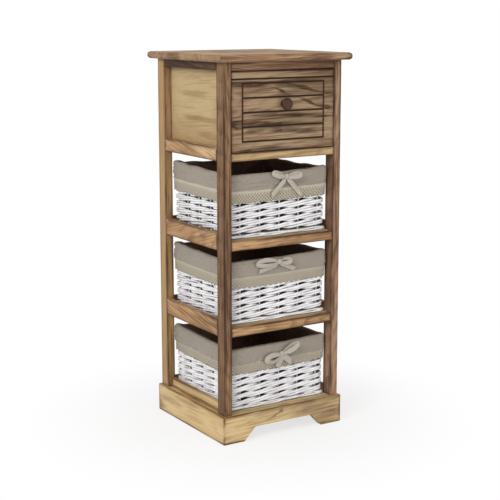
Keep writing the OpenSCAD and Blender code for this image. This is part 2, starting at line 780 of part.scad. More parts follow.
// Lining: up the inside of the wicker, over the rim, down the outside, then the lace,
// and back on the other face of the cloth to the floor of the lining
module basket_liner(i) {
    floor_z = basket_base_t + fit;
    under = basket_h - cloth_t;
    in_far = -cloth_out;
    in_near = -cloth_out - cloth_t;
    color(CLOTH_COLOUR) at_basket(i) skin([
        cloth_ring(floor_z, in_far, 0),
        cloth_ring(under - 3, in_far, 0),
        cloth_ring(under, in_far + 3, 0),
        cloth_ring(under, cloth_out - 3, 0),
        cloth_ring(under - 3, cloth_out, 0),
        cloth_ring(skirt_z, cloth_out, 0.4),
        cloth_ring(lace_z, cloth_out, 0.4),
        cloth_ring(lace_z, cloth_out + 1, 0.4),
        cloth_ring(skirt_z, cloth_out + 1, 0.4),
        cloth_ring(skirt_z, skirt_out + fold_ripple, 1),
        cloth_ring((skirt_z + basket_h) / 2, skirt_out + fold_ripple / 2, 0.7),
        cloth_ring(basket_h - 4, skirt_out, 0.2),
        cloth_ring(basket_h, cloth_out - 3, 0),
        cloth_ring(basket_h, in_near + 4, 0),
        cloth_ring(basket_h - 4, in_near, 0),
        cloth_ring(floor_z + cloth_t, in_near, 0)
    ]);
}

// Bow: flat straps with blunt ends on the face of the folded cloth, and a round knot
module strap(from, to, w) {
    run = to - from;
    len = norm(run);
    translate(from) rotate(atan2(run.y, run.x)) polygon([
        [0, -w / 3], [len - w / 4, -w / 2], [len + w / 4, -w / 4], [len + w / 4, w / 4], [len - w / 4, w / 2], [0, w / 3]
    ]);
}

module basket_bow(i) {
    knot = bow_knots[i - 1];
    color(BOW_COLOUR) at_basket(i)
        translate([0, -(rim_y + skirt_out + fold_ripple), basket_h]) rotate([90, 0, 0]) {
            linear_extrude(bow_t) for (s = bow_straps[i - 1]) strap(s[0], s[1], ribbon_w * 0.8);
            translate([knot.x, knot.y, 0]) cylinder(d = ribbon_w, h = bow_t + 1.6);
        }
}

top();
post(-1, -1);  // post_front_left
post(1, -1);  // post_front_right
post(-1, 1);  // post_rear_left
post(1, 1);  // post_rear_right
top_rail_front();
top_rail_rear();
top_rail_side(-1);  // top_rail_left
top_rail_side(1);  // top_rail_right
drawer_rail_front();
drawer_rail_rear();
drawer_rail_side(-1);  // drawer_rail_left
drawer_rail_side(1);  // drawer_rail_right
side_panel(-1);  // side_panel_left
side_panel(1);  // side_panel_right
back_panel();
runner(-1);  // runner_left
runner(1);  // runner_right
shelf_rail_front(up_rail_z, RAIL_COLOUR);  // upper_shelf_rail_front
shelf_rail_rear(up_rail_z);  // upper_shelf_rail_rear
shelf_rail_side(-1, up_rail_z);  // upper_shelf_rail_left
shelf_rail_side(1, up_rail_z);  // upper_shelf_rail_right
shelf_board(up_rail_z);  // upper_shelf_board
shelf_rail_front(low_rail_z, SIDE_COLOUR);  // lower_shelf_rail_front
shelf_rail_rear(low_rail_z);  // lower_shelf_rail_rear
shelf_rail_side(-1, low_rail_z);  // lower_shelf_rail_left
shelf_rail_side(1, low_rail_z);  // lower_shelf_rail_right
shelf_board(low_rail_z);  // lower_shelf_board
base_front();
base_rear();
base_side(-1);  // base_left
base_side(1);  // base_right
base_floor();
base_guide_side(-1);  // base_guide_left
base_guide_side(1);  // base_guide_right
base_guide_rear();
corner_blocks();
base_cleats();
carcass_screws();
drawer_front();
drawer_side(-1);  // drawer_side_left
drawer_side(1);  // drawer_side_right
drawer_back();
drawer_bottom();
drawer_knob();
knob_screw();
basket_frame(1);  // basket_1_frame
basket_weave(1);  // basket_1_weave
basket_liner(1);  // basket_1_liner
basket_bow(1);  // basket_1_bow
basket_frame(2);  // basket_2_frame
basket_weave(2);  // basket_2_weave
basket_liner(2);  // basket_2_liner
basket_bow(2);  // basket_2_bow
basket_frame(3);  // basket_3_frame
basket_weave(3);  // basket_3_weave
basket_liner(3);  // basket_3_liner
basket_bow(3);  // basket_3_bow
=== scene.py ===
"""Looks of a tall bathroom cabinet: flamed solid wood, one drawer and three lined willow baskets.

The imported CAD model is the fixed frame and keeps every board. This script gives each board its own
flamed wood, and builds what CAD leaves plain: the woven willow, the linings, the lace and the bows.
Lengths are in metres, +Z is up, and the front of the cabinet faces -Y.
"""

from __future__ import annotations

import json
import logging
import math
from dataclasses import dataclass, replace
from enum import Enum
from typing import Sequence

import bmesh
import bpy
import numpy as np
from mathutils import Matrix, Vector

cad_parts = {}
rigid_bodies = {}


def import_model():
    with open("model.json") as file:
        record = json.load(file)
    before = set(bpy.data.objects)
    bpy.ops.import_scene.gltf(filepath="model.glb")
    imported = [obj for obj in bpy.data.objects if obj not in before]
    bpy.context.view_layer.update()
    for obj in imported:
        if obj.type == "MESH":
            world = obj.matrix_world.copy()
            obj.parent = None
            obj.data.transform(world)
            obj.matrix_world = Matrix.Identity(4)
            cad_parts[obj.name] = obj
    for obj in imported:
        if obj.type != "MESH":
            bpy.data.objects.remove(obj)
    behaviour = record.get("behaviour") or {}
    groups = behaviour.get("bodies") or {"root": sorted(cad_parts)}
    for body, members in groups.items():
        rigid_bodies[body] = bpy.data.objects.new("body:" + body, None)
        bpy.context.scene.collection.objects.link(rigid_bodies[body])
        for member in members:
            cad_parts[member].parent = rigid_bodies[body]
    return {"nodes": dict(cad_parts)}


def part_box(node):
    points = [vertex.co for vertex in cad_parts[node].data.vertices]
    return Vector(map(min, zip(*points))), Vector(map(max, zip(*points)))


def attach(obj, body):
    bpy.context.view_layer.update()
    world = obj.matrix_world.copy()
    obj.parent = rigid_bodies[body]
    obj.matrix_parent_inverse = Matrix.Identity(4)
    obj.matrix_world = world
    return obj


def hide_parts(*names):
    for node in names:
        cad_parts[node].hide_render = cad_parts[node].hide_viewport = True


LOG = logging.getLogger("cabinet")
MM = 0.001
TAU = 2.0 * math.pi
Socket = bpy.types.NodeSocket
Material = bpy.types.Material
Piece = bpy.types.Object
Triple = tuple[float, float, float]
Keys = tuple[tuple[float, float], ...]

# Shader nodes that come up again and again: the class name, and the setting that goes with it
PLUS, MINUS, TIMES, LEAST, MOST, SIZE, SINE, FRACT, SNAP, ZIGZAG = (
    f"ShaderNodeMath operation={word}" for word in (
        "ADD", "SUBTRACT", "MULTIPLY", "MINIMUM", "MAXIMUM", "ABSOLUTE", "SINE", "FRACT", "SNAP", "PINGPONG"))
V_PLUS, V_MINUS, V_TIMES, V_LEAST, V_SIZE, V_LENGTH, V_DOT = (
    f"ShaderNodeVectorMath operation={word}" for word in (
        "ADD", "SUBTRACT", "MULTIPLY", "MINIMUM", "ABSOLUTE", "LENGTH", "DOT_PRODUCT"))
NOISE, SPLIT, RANGE = "ShaderNodeTexNoise", "ShaderNodeSeparateXYZ", "ShaderNodeMapRange"
FADE, MIX = f"{RANGE} interpolation_type=SMOOTHSTEP", "ShaderNodeMix data_type=RGBA"
MAPPING = "ShaderNodeMapping vector_type=TEXTURE"


# ------------------------------------------------------------------ colours and nodes


def linear(code: str) -> tuple[float, float, float, float]:
    """Turns six hex digits of sRGB into the linear red, green, blue and alpha that shaders read."""
    parts = [int(code[i : i + 2], 16) / 255.0 for i in (0, 2, 4)]
    low = [c / 12.92 if c <= 0.04045 else ((c + 0.055) / 1.055) ** 2.4 for c in parts]
    return (low[0], low[1], low[2], 1.0)


def metres(sizes: Sequence[float]) -> tuple[float, ...]:
    """Turns mm into metres."""
    return tuple(size * MM for size in sizes)


@dataclass(frozen=True)
class Graph:
    """A node tree that nodes are added to.

    Attributes:
        tree: The tree of a material, a world or a node group.
    """

    tree: bpy.types.NodeTree

    def add(self, kind: str, *inputs: object, out: int | str = 0, **settings: object) -> Socket:
        """Adds one node with its settings, values and links.

        Args:
            kind: The node's class name, and settings such as operation=ADD after a space.
            inputs: Values, hex colours or sockets in the order of the node's inputs, or a dictionary
                from the name or number of an input to one of these.
            out: Name or number of the output to return.
            settings: Further attributes of the node.

        Returns:
            The chosen output, or the node's first input where it has no output.
        """
        name, *words = kind.split()
        made = self.tree.nodes.new(name)
        for key, value in [*(word.split("=") for word in words), *settings.items()]:
            setattr(made, key, value)
        for number, given in enumerate(inputs):
            for key, value in given.items() if isinstance(given, dict) else [(number, given)]:
                if isinstance(value, Socket):
                    self.tree.links.new(value, made.inputs[key])
                else:
                    made.inputs[key].default_value = linear(value) if isinstance(value, str) else value
        return made.outputs[out] if len(made.outputs) else made.inputs[0]

    def layers(self, colour: Socket | str, *over: tuple[Socket, Socket | str]) -> Socket:
        """Lays colours over each other; 0, 6 and 7 are the factor and the two colours of a Mix node.

        Args:
            colour: The lowest colour.
            over: For each further layer, how far it covers, 0 to 1, and its colour.

        Returns:
            The colour that is seen.
        """
        for cover, upper in over:
            colour = self.add(MIX, {0: cover, 6: colour, 7: upper}, out=2)
        return colour

    def clouds(self, place: Socket, counts: Triple, detail: float, rough: float = 0.5,
               out: int | str = 0) -> Socket:
        """Noise that is drawn out: counts says how often it swings in a metre along each axis."""
        return self.add(NOISE, {"Vector": self.add(V_TIMES, place, counts), "Scale": 1.0, "Detail": detail,
                                "Roughness": rough}, out=out)

    def close(self, colour: Socket, height: Socket, relief: tuple[float, float],
              values: dict[str, float]) -> None:
        """Ends a material with its bumps and its shader.

        Args:
            colour: The colour.
            height: The height for the bumps.
            relief: Strength and depth of the bumps.
            values: The shader's other values by the names of its sockets.
        """
        bumps = self.add("ShaderNodeBump", {"Strength": relief[0], "Distance": relief[1], "Height": height})
        shader = self.add("ShaderNodeBsdfPrincipled", {"Base Color": colour, "Normal": bumps, **values})
        self.add("ShaderNodeOutputMaterial", shader)


def fresh_graph(owner: Material | bpy.types.World) -> Graph:
    """Empties the node tree of a material or a world and returns it."""
    owner.use_nodes = True
    owner.node_tree.nodes.clear()
    return Graph(owner.node_tree)


# ------------------------------------------------------------------ wood


class Lay(Enum):
    """The axis that a board's grain follows, as the turn that lays the X axis along it."""

    X = (0.0, 0.0, 0.0)
    Y = (0.0, 0.0, math.pi / 2)
    Z = (0.0, -math.pi / 2, 0.0)


@dataclass(frozen=True)
class Wood:
    """Soft solid wood that was gone over with a flame, brushed and waxed.

    The flame darkens the grain lines, leaves smoky patches and chars the edges, which gives a brown,
    streaky board with dark outlines and little gloss.

    Attributes:
        name: What the material is called.
        pale: Colour where the flame hardly touched it.
        body: Colour of the warmed wood.
        line: Colour of the grain lines.
        scorch: Colour of smoky patches and charred edges.
        figure: Strength of the growth rings, 0 to 1.
        streak: Strength of the fine streaks.
        smoke: Strength of the smoky patches.
        edge: Strength of the charred edges.
        ring: Distance between growth rings in mm.
        wander: How far the rings wander.
        bleach: How much paler the faces along X, Y and Z are, or darker as painted shade where negative.
    """

    name: str
    pale: str
    body: str
    line: str
    scorch: str
    figure: float
    streak: float
    smoke: float
    edge: float
    ring: float
    wander: float
    bleach: Triple = (0.0, 0.0, 0.0)


# Flamed paulownia: brown with a red cast on posts and rails, a paler top, smoky bands on the drawer
# The posts' faces that look along X are a little darker, painted shade.
POST = Wood("flamed post wood", "987654", "725238", "46291a", "2f190d", 0.3, 0.7, 0.4, 1.0, 5.0, 0.35,
            (-0.2, 0.0, 0.0))
# Painted shade: the front right post's left face, which looks at the baskets, is darkened.
RED_POST = replace(POST, name="red flamed post wood", pale="a48468", body="7b5a45", line="482c1d", smoke=0.45,
                   bleach=(-0.45, 0.0, 0.0))
PALE_POST = replace(POST, name="two tone post wood", pale="ac8c60", body="b08c64", line="6a4b2f", smoke=0.3,
                    bleach=(0.75, 0.0, 0.0))
RAIL = Wood("flamed rail wood", "b08b66", "856248", "573722", "3a2012", 0.45, 0.7, 0.45, 0.95, 5.0, 1.2)
# Painted shade: the front and left top rails are darkened for the shade under the top's overhang, the left
# one most.
TOP_SHADE_RAIL = replace(RAIL, name="flamed rail wood with painted shade", pale="a48062", body="7e5e46", line="4c3120")
DEEP_TOP_SHADE_RAIL = replace(RAIL, name="rail wood with deep painted shade", pale="59402c", body="402b1c", line="26170e")
# The top's faces that look along X and Y are darker, painted shade.
TOP = Wood("flamed top wood", "c9a782", "9e7956", "61422c", "482c1c", 0.45, 0.75, 0.45, 0.6, 7.0, 1.0,
           (-0.5, -0.35, 0.0))
FRONT = Wood("smoky drawer wood", "a1886a", "83674e", "553a27", "37210f", 0.3, 0.45, 0.35, 0.95, 9.0, 1.0)
SHELF = Wood("flamed shelf wood", "bf986e", "9b7753", "6c4b32", "3d2212", 0.5, 0.5, 0.35, 1.0, 7.0, 1.5)
# Painted light: a paler copy of the shelf wood for the left rails that face the light.
LIT_SHELF = replace(SHELF, name="flamed shelf wood with painted light", pale="cdab84", body="ad8760", line="76543a")
# The same wood with hardly any flame: yellow, soft clouds, dark only along the edges
PALE = Wood("pale rail wood", "c8ae82", "b3966a", "886944", "4d3018", 0.3, 0.45, 0.3, 0.95, 6.0, 0.7)
PANEL = Wood("pale panel wood", "b7a178", "ab9169", "9a7a53", "7a5836", 0.15, 0.15, 0.25, 0.5, 14.0, 1.6)
BASE = Wood("pale base wood", "d5bc8e", "b9955f", "8f6937", "58321b", 0.2, 0.2, 0.3, 1.0, 16.0, 1.6,
            (0.65, 0.0, 0.0))
# Birch plywood and sanded drawer sides that the flame never reached
PLY = Wood("sanded plywood", "cdb994", "c0a97f", "a68c62", "8a7048", 0.2, 0.3, 0.1, 0.2, 8.0, 1.2)
INNER = Wood("sanded inner wood", "d3bf98", "c6ae82", "ac9165", "8a7048", 0.25, 0.3, 0.1, 0.25, 6.0, 0.8)


@dataclass(frozen=True)
class Burn:
    """A cloud of soot that the flame left on a board, or a patch that it spared.

    Attributes:
        middle: Its middle in mm.
        reach: Its half sizes along X, Y and Z in mm.
        strength: How dark it is, or how pale where negative.
        turn: Degrees that it is turned about the Y axis.
    """

    middle: Triple
    reach: Triple
    strength: float
    turn: float = 0.0


# Soot on the faces that are seen first; the rest of the smoke comes from the wood's own pattern
FRONT_BURNS = tuple(
    Burn((x, -150, z), (wide, 200, high), strength, turn) for x, z, wide, high, strength, turn in (
        (-92, 833, 74, 10, 1.0, 0), (-128, 834, 30, 10, 0.85, 0), (0, 836, 120, 6, 0.9, 0),
        (-6, 815, 40, 4.4, 1.0, 19), (74, 788, 56, 4.6, 1.0, 18), (120, 776, 30, 9, 1.0, 12),
        (55, 822, 80, 5.5, 1.0, 14), (20, 828, 54, 9, 0.75, 6), (100, 811, 42, 5, 0.9, 10),
        (-128, 745, 40, 17, 1.0, 0), (-72, 745, 66, 11, 0.9, 5), (-20, 738, 120, 9, 1.0, 0),
        (-5, 728, 64, 11, 0.95, 3), (58, 720, 64, 9, 0.65, 2), (-80, 728, 38, 7, 0.7, 0),
        (70, 757, 100, 6.5, 1.0, 2), (-10, 763, 125, 5, 0.7, 2), (10, 752, 160, 22, 0.5, 0),
        (-60, 686, 105, 7, 0.9, 0), (-60, 787, 66, 20, -0.55, 0), (50, 779, 44, 10, -0.5, 0),
        (130, 724, 22, 40, -0.4, 0), (-130, 795, 20, 34, -0.5, 0), (0, 862, 500, 4, 1.0, 0)))
PANEL_BURNS = tuple(
    Burn((-150, y, z), (200, wide, high), strength) for y, z, wide, high, strength in (
        (20, 806, 80, 11, 0.5), (-20, 748, 100, 10, 0.5), (60, 772, 60, 7, 0.3), (100, 790, 70, 90, -0.6),
        (-60, 712, 60, 12, 0.45), (-95, 770, 30, 60, 0.25)))
BASE_BURNS = (
    Burn((110, -172, 0), (90, 60, 9), 0.95), Burn((-150, -172, 0), (60, 60, 8), 0.85),
    Burn((-172, 60, 0), (60, 150, 8), 0.75), Burn((-167, 165, 10), (30, 40, 26), 0.7),
    Burn((-28, -172, 53), (42, 60, 4.5), 0.7, -28), Burn((110, -172, 40), (110, 60, 60), 0.6),
    Burn((130, -172, 26), (50, 60, 10), 0.5, -6), Burn((50, -172, 60), (60, 60, 8), 0.35, -8),
    Burn((-172, 110, 38), (60, 90, 12), 0.4), Burn((-172, 30, 56), (60, 120, 6), 0.4),
    Burn((-172, -110, 32), (60, 80, 24), -0.75), Burn((-135, -172, 36), (45, 60, 30), -0.75))
TOP_BURNS = (
    Burn((178, -150, 890), (16, 60, 40), 0.9), Burn((0, 160, 900), (120, 30, 40), 0.4),
    Burn((-60, -60, 900), (110, 14, 40), 0.5), Burn((60, 40, 900), (110, 18, 40), 0.5),
    Burn((-90, 20, 900), (110, 22, 40), -0.4))
POST_BURNS = (Burn((157, -150, 190), (23, 60, 330), -0.9),)


@dataclass(frozen=True)
class Board:
    """One CAD board and what it is cut from.

    Attributes:
        node: Name of the CAD node.
        wood: Its wood.
        lay: The axis of its grain.
        slant: Degrees that the grain is off that axis.
        burns: Its largest clouds of soot.
    """

    node: str
    wood: Wood
    lay: Lay
    slant: float = 0.0
    burns: tuple[Burn, ...] = ()


BOARDS = tuple(Board(node, *cut) for nodes, *cut in (
    ("top", TOP, Lay.X, 2, TOP_BURNS),
    ("post_front_left post_rear_right", POST, Lay.Z),
    ("post_front_right", RED_POST, Lay.Z, 0, POST_BURNS),
    ("post_rear_left", PALE_POST, Lay.Z),
    ("top_rail_front", TOP_SHADE_RAIL, Lay.X),
    ("top_rail_rear", RAIL, Lay.X),
    ("top_rail_left", DEEP_TOP_SHADE_RAIL, Lay.Y, 6),
    ("top_rail_right", RAIL, Lay.Y, 3),
    ("drawer_rail_front", PALE, Lay.X, 1),
    ("drawer_rail_left", LIT_SHELF, Lay.Y, 14),
    ("drawer_rail_right", SHELF, Lay.Y, -10),
    ("drawer_rail_rear upper_shelf_rail_rear lower_shelf_rail_rear", SHELF, Lay.X),
    ("side_panel_left", PANEL, Lay.Y, -4, PANEL_BURNS),
    ("side_panel_right", PANEL, Lay.Y, 3),
    ("upper_shelf_rail_front", SHELF, Lay.X, 3),
    ("upper_shelf_rail_left", LIT_SHELF, Lay.Y, -16),
    ("upper_shelf_rail_right", SHELF, Lay.Y, 8),
    ("lower_shelf_rail_front", SHELF, Lay.X, -2),
    ("lower_shelf_rail_left", SHELF, Lay.Y, 10),
    ("lower_shelf_rail_right", SHELF, Lay.Y, -6),
    ("base_front", BASE, Lay.X, 2, BASE_BURNS),
    ("base_left", BASE, Lay.Y, -3, BASE_BURNS),
    ("base_right", BASE, Lay.Y, 2),
    ("base_rear base_guide_rear", BASE, Lay.X),
    ("base_guide_left base_guide_right", BASE, Lay.Y),
    ("drawer_front", FRONT, Lay.X, 2, FRONT_BURNS),
    ("back_panel upper_shelf_board lower_shelf_board base_floor drawer_bottom", PLY, Lay.X),
    ("base_cleats drawer_back", INNER, Lay.X),
    ("runner_left runner_right drawer_side_left drawer_side_right", INNER, Lay.Y),
    ("corner_blocks", INNER, Lay.Z)) for node in nodes.split())


@dataclass(frozen=True)
class Grooves:
    """The V grooves of the drawer front, which the flame chars along their whole length.

    Attributes:
        side: Distance of the upright grooves from the middle.
        low: Height of the lowest groove.
        high: Height of the highest groove of the frame.
        planks: Strips between them.
        upper: Height of the single groove above the frame.
        half: Half the width of a groove.
        char: Colour of the char.
    """

    side: float = 111.0 * MM
    low: float = 705.2 * MM
    high: float = 835.5 * MM
    planks: int = 4
    upper: float = 845.0 * MM
    half: float = 1.3 * MM
    char: str = "33200f"

    def mask(self, g: Graph, place: Socket) -> Socket:
        """Writes the darkness of the grooves: 1 in a groove, falling to 0 a groove's width away.

        The distance to a plank groove is that of the height to the nearest whole number of planks
        above the lowest one. It counts only between the upright grooves. Faces that look to the front
        have grooves, the back and the edges of the board have none.

        Args:
            g: The material's graph.
            place: The Object coordinates.

        Returns:
            A value from 0 to 1.
        """
        add = g.add
        x, _, z = add(SPLIT, place).node.outputs
        step = (self.high - self.low) / self.planks
        above = add(MINUS, z, self.low)
        part = add(MINUS, above, add(SNAP, above, step))
        plank = add(LEAST, part, add(MINUS, step, part))
        past_side = add(MINUS, add(SIZE, x), self.side)
        past_ends = add(MOST, add(MOST, add(MINUS, self.low, z), add(MINUS, z, self.high)), 0.0)
        plank = add(MOST, add(SIZE, add(PLUS, plank, add(MOST, past_side, 0.0))), past_ends)
        upright = add(MOST, add(SIZE, past_side), past_ends)
        upper = add(SIZE, add(MINUS, z, self.upper))
        dark = add(FADE, add(LEAST, add(LEAST, plank, upright), upper), 2.6 * self.half, self.half)
        facing = add(SPLIT, place.node.outputs["Normal"], out=1)
        return add(TIMES, dark, add(RANGE, facing, -0.1, -0.3))


class Timber:
    """The shared grain of all boards, from which each board gets a material of its own."""

    def __init__(self) -> None:
        """Builds the node group."""
        self.group = bpy.data.node_groups.new("flamed wood", "ShaderNodeTree")
        self._sockets()
        self._grain()

    def _sockets(self) -> None:
        """Declares what goes into the group and what comes out."""
        for way, kind, names in (
                ("INPUT", "Vector", "Grain Place Normal Low High Bleach"),
                ("INPUT", "Color", "Pale Body Line Scorch"),
                ("INPUT", "Float", "Figure Streak Smoke Edge Rings Wander"),
                ("OUTPUT", "Color", "Color"), ("OUTPUT", "Float", "Height")):
            for name in names.split():
                self.group.interface.new_socket(name, in_out=way, socket_type=f"NodeSocket{kind}")

    def _grain(self) -> None:
        """Writes the pattern.

        Growth rings are cylinders round a line 40 mm under the board, so their cut with a face gives
        straight lines near the edges and arches in the middle; broad and middling noise bends them.
        Streaks are noise about 3 mm wide and 110 mm long, fibres 2 mm by 40 mm, coarser than the real
        ones so that they show. Smoky patches are noise about 40 mm by 220 mm that is drawn darker in
        the streaks. The distance to the board's nearest edge is the middle one of its distances to
        the three pairs of faces.
        """
        g = Graph(self.group)
        add = g.add
        src = g.tree.nodes.new("NodeGroupInput").outputs
        p = src["Grain"]
        slow, bend, fade, streak, fibre, smoke = (g.clouds(p, *size) for size in (
            ((2.4, 9, 9), 2, 0.5), ((6, 28, 28), 3, 0.55), ((7, 60, 60), 2, 0.5),
            ((9, 300, 300), 4, 0.62), ((26, 520, 520), 2, 0.5), ((4.5, 25, 25), 4, 0.55)))
        # growth rings
        core = add(V_PLUS, add(V_TIMES, p, (0.1, 1, 1)), (0, 0, 0.04))
        ring = add(TIMES, add(V_LENGTH, core, out=1), src["Rings"])
        sway = add(PLUS, add(TIMES, slow, 5.0), add(TIMES, bend, 1.8))
        phase = add(FRACT, add(PLUS, add(TIMES, sway, src["Wander"]), ring))
        line = add(TIMES, add(FADE, phase, 0.4, 0.9), add(FADE, phase, 1.0, 0.92))
        line = add(TIMES, line, add(FADE, fade, 0.35, 0.65, 0.15))
        # edges
        low = add(V_SIZE, add(V_MINUS, src["Place"], src["Low"]))
        high = add(V_SIZE, add(V_MINUS, src["High"], src["Place"]))
        x, y, z = add(SPLIT, add(V_LEAST, low, high)).node.outputs
        rim = add(MOST, add(LEAST, x, y), add(LEAST, add(MOST, x, y), z))
        rim = add(PLUS, rim, add(RANGE, bend, 0.3, 0.7, -0.002, 0.003))
        char = add(MOST, add(FADE, rim, 0.0032, 0.0008, 0.0, 0.9), add(FADE, rim, 0.0085, 0.001, 0.0, 0.5))
        # how far each layer of colour covers, from the palest to the darkest
        tone = add(FADE, add(PLUS, slow, add(RANGE, streak, 0.3, 0.7, -0.2, 0.2)), 0.36, 0.64)
        light = add(TIMES, add(FADE, streak, 0.46, 0.28, 0.0, 0.5), src["Streak"])
        dark = add(TIMES, add(FADE, streak, 0.49, 0.69), src["Streak"])
        fine = add(TIMES, add(FADE, fibre, 0.48, 0.7, 0.0, 0.6), src["Streak"])
        deep = add(PLUS, smoke, add(RANGE, streak, 0.35, 0.7, -0.07, 0.12))
        deep = add(FADE, add(PLUS, deep, add(TIMES, line, 0.07)), 0.47, 0.74)
        # Faces along X, Y and Z turn paler, or darker where the setting is negative, which is painted shade.
        faces = add(V_DOT, add(V_SIZE, src["Normal"]), src["Bleach"], out=1)
        faces = add(TIMES, faces, add(RANGE, streak, 0.35, 0.65, 1.0, 0.55))
        colour = g.layers(
            src["Pale"], (tone, src["Body"]), (light, src["Pale"]), (dark, src["Line"]),
            (add(TIMES, line, src["Figure"]), src["Line"]), (fine, src["Line"]),
            (add(TIMES, deep, src["Smoke"]), src["Scorch"]), (faces, src["Pale"]),
            (add(TIMES, faces, -1.0), src["Scorch"]), (add(TIMES, char, src["Edge"]), src["Scorch"]))
        add("NodeGroupOutput", colour, add(MINUS, add(PLUS, streak, fibre), line))

    def material(self, board: Board, seed: int, grooves: Grooves | None = None) -> Material:
        """Makes one board's own material, so no two boards show the same figure.

        Burns are ellipsoids in coordinates that noise bends, strongest in the dark of the grain.

        Args:
            board: The board.
            seed: Picks where in the trunk it was cut.
            grooves: Charred grooves, for the drawer front.

        Returns:
            The material.
        """
        wood = board.wood
        material = bpy.data.materials.new(f"{wood.name} {board.node}")
        g = fresh_graph(material)
        add = g.add
        place = add("ShaderNodeTexCoord", out="Object")
        low, high = (tuple(map(float, corner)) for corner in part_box(board.node))
        middle = tuple((a + b) / 2 for a, b in zip(low, high))
        _, tip, spin = board.lay.value
        laid = add(MAPPING, place, middle, (0.0, tip - math.radians(board.slant), spin))
        rng = np.random.default_rng(seed)
        cut = tuple(float(rng.uniform(*ends)) for ends in ((-4, 4), (-0.025, 0.025), (-0.01, 0.02)))
        colour = add("ShaderNodeGroup", {
            "Grain": add(V_PLUS, laid, cut), "Place": place, "Normal": place.node.outputs["Normal"],
            "Low": low, "High": high, "Bleach": wood.bleach, "Pale": wood.pale, "Body": wood.body,
            "Line": wood.line, "Scorch": wood.scorch, "Figure": wood.figure, "Streak": wood.streak,
            "Smoke": wood.smoke, "Edge": wood.edge, "Rings": 1.0 / (wood.ring * MM), "Wander": wood.wander,
        }, out="Color", node_tree=self.group)
        height = colour.node.outputs["Height"]
        wobble = add(V_MINUS, g.clouds(laid, (8, 60, 60), 3.0, out="Color"), (0.5, 0.5, 0.5))
        bent = add(V_PLUS, place, add(V_TIMES, wobble, (0.07, 0.07, 0.014)))
        for burn in board.burns:
            spot = add(MAPPING, bent, metres(burn.middle), (0.0, math.radians(burn.turn), 0.0),
                       metres(burn.reach))
            amount = add(FADE, add(V_LENGTH, spot, out=1), 1.0, 0.4, 0.0, abs(burn.strength))
            amount = add(TIMES, amount, add(RANGE, height, 0.6, 1.1, 0.55))
            colour = g.layers(colour, (amount, wood.scorch if burn.strength > 0 else wood.pale))
        if grooves is not None:
            colour = g.layers(colour, (grooves.mask(g, place), grooves.char))
        g.close(colour, height, (0.3, 0.5 * MM), {"Roughness": 0.6, "Specular IOR Level": 0.2})
        material.diffuse_color = linear(wood.body)
        return material


# ------------------------------------------------------------------ other finishes


@dataclass(frozen=True)
class Finish:
    """A finish other than flamed wood; each kind writes its own pattern.

    Attributes:
        name: The real material.
        rough: Roughness.
        metal: Metalness.
        sheen: Sheen of the fuzz on cloth.
        relief: Strength and depth of the bumps.
        source: Which coordinates the pattern reads, Object or UV.
    """

    name: str
    rough: float
    metal: float = 0.0
    sheen: float = 0.0
    relief: tuple[float, float] = (0.3, 1.0 * MM)
    source: str = "Object"

    def pattern(self, g: Graph, place: Socket) -> tuple[Socket, Socket]:
        """Writes the colour and the height; each kind of finish has its own."""
        raise NotImplementedError

    def material(self) -> Material:
        """Makes the material."""
        material = bpy.data.materials.new(self.name)
        g = fresh_graph(material)
        g.close(*self.pattern(g, g.add("ShaderNodeTexCoord", out=self.source)), self.relief, {
            "Roughness": self.rough, "Metallic": self.metal, "Sheen Weight": self.sheen,
            "Specular IOR Level": 0.5 if self.metal else 0.3})
        return material


@dataclass(frozen=True)
class PaintedWillow(Finish):
    """Peeled willow, painted white: cool white, grey where a rod is rough, and painted shade where a rod
    faces down.
    """

    def pattern(self, g: Graph, place: Socket) -> tuple[Socket, Socket]:
        """Clouds 20 mm wide and flecks 2 mm wide darken the white; a normal that points down adds painted
        shade.
        """
        soft = g.clouds(place, (50, 50, 50), 3.0)
        fine = g.clouds(place, (450, 450, 450), 2.0)
        # Painted shade: rods turn grey 76726f where their normal points down, for the shade between rods.
        down = g.add(SPLIT, place.node.outputs["Normal"], out=2)
        return g.layers(
            "f0eff0", (g.add(FADE, soft, 0.35, 0.7), "dcdadb"),
            (g.add(FADE, fine, 0.6, 0.8, 0.0, 0.4), "b8b6bc"),
            (g.add(FADE, down, -0.15, -0.95, 0.0, 0.85), "76726f")), fine


@dataclass(frozen=True)
class WovenCotton(Finish):
    """Plain woven cotton: matt, with soft slubs both ways. Threads are drawn 1 mm apart, coarser than
    the real 0.5 mm, so that they show.

    Attributes:
        light: Colour of the raised threads.
        dark: Colour between them.
    """

    sheen: float = 0.2
    relief: tuple[float, float] = (0.25, 0.5 * MM)
    source: str = "UV"
    light: str = "9d9386"
    dark: str = "8a8176"

    def pattern(self, g: Graph, place: Socket) -> tuple[Socket, Socket]:
        """Noise drawn out along the warp and along the weft, on UVs in metres, and clouds 60 mm wide."""
        warp, weft, cloud = (g.clouds(place, counts, 2.0) for counts in (
            (1000, 70, 1), (70, 1000, 1), (16, 16, 1)))
        threads = g.add(TIMES, g.add(PLUS, warp, weft), 0.5)
        return g.layers(self.dark, (g.add(FADE, threads, 0.36, 0.62), self.light),
                        (g.add(FADE, cloud, 0.4, 0.75, 0.0, 0.35), self.dark)), threads


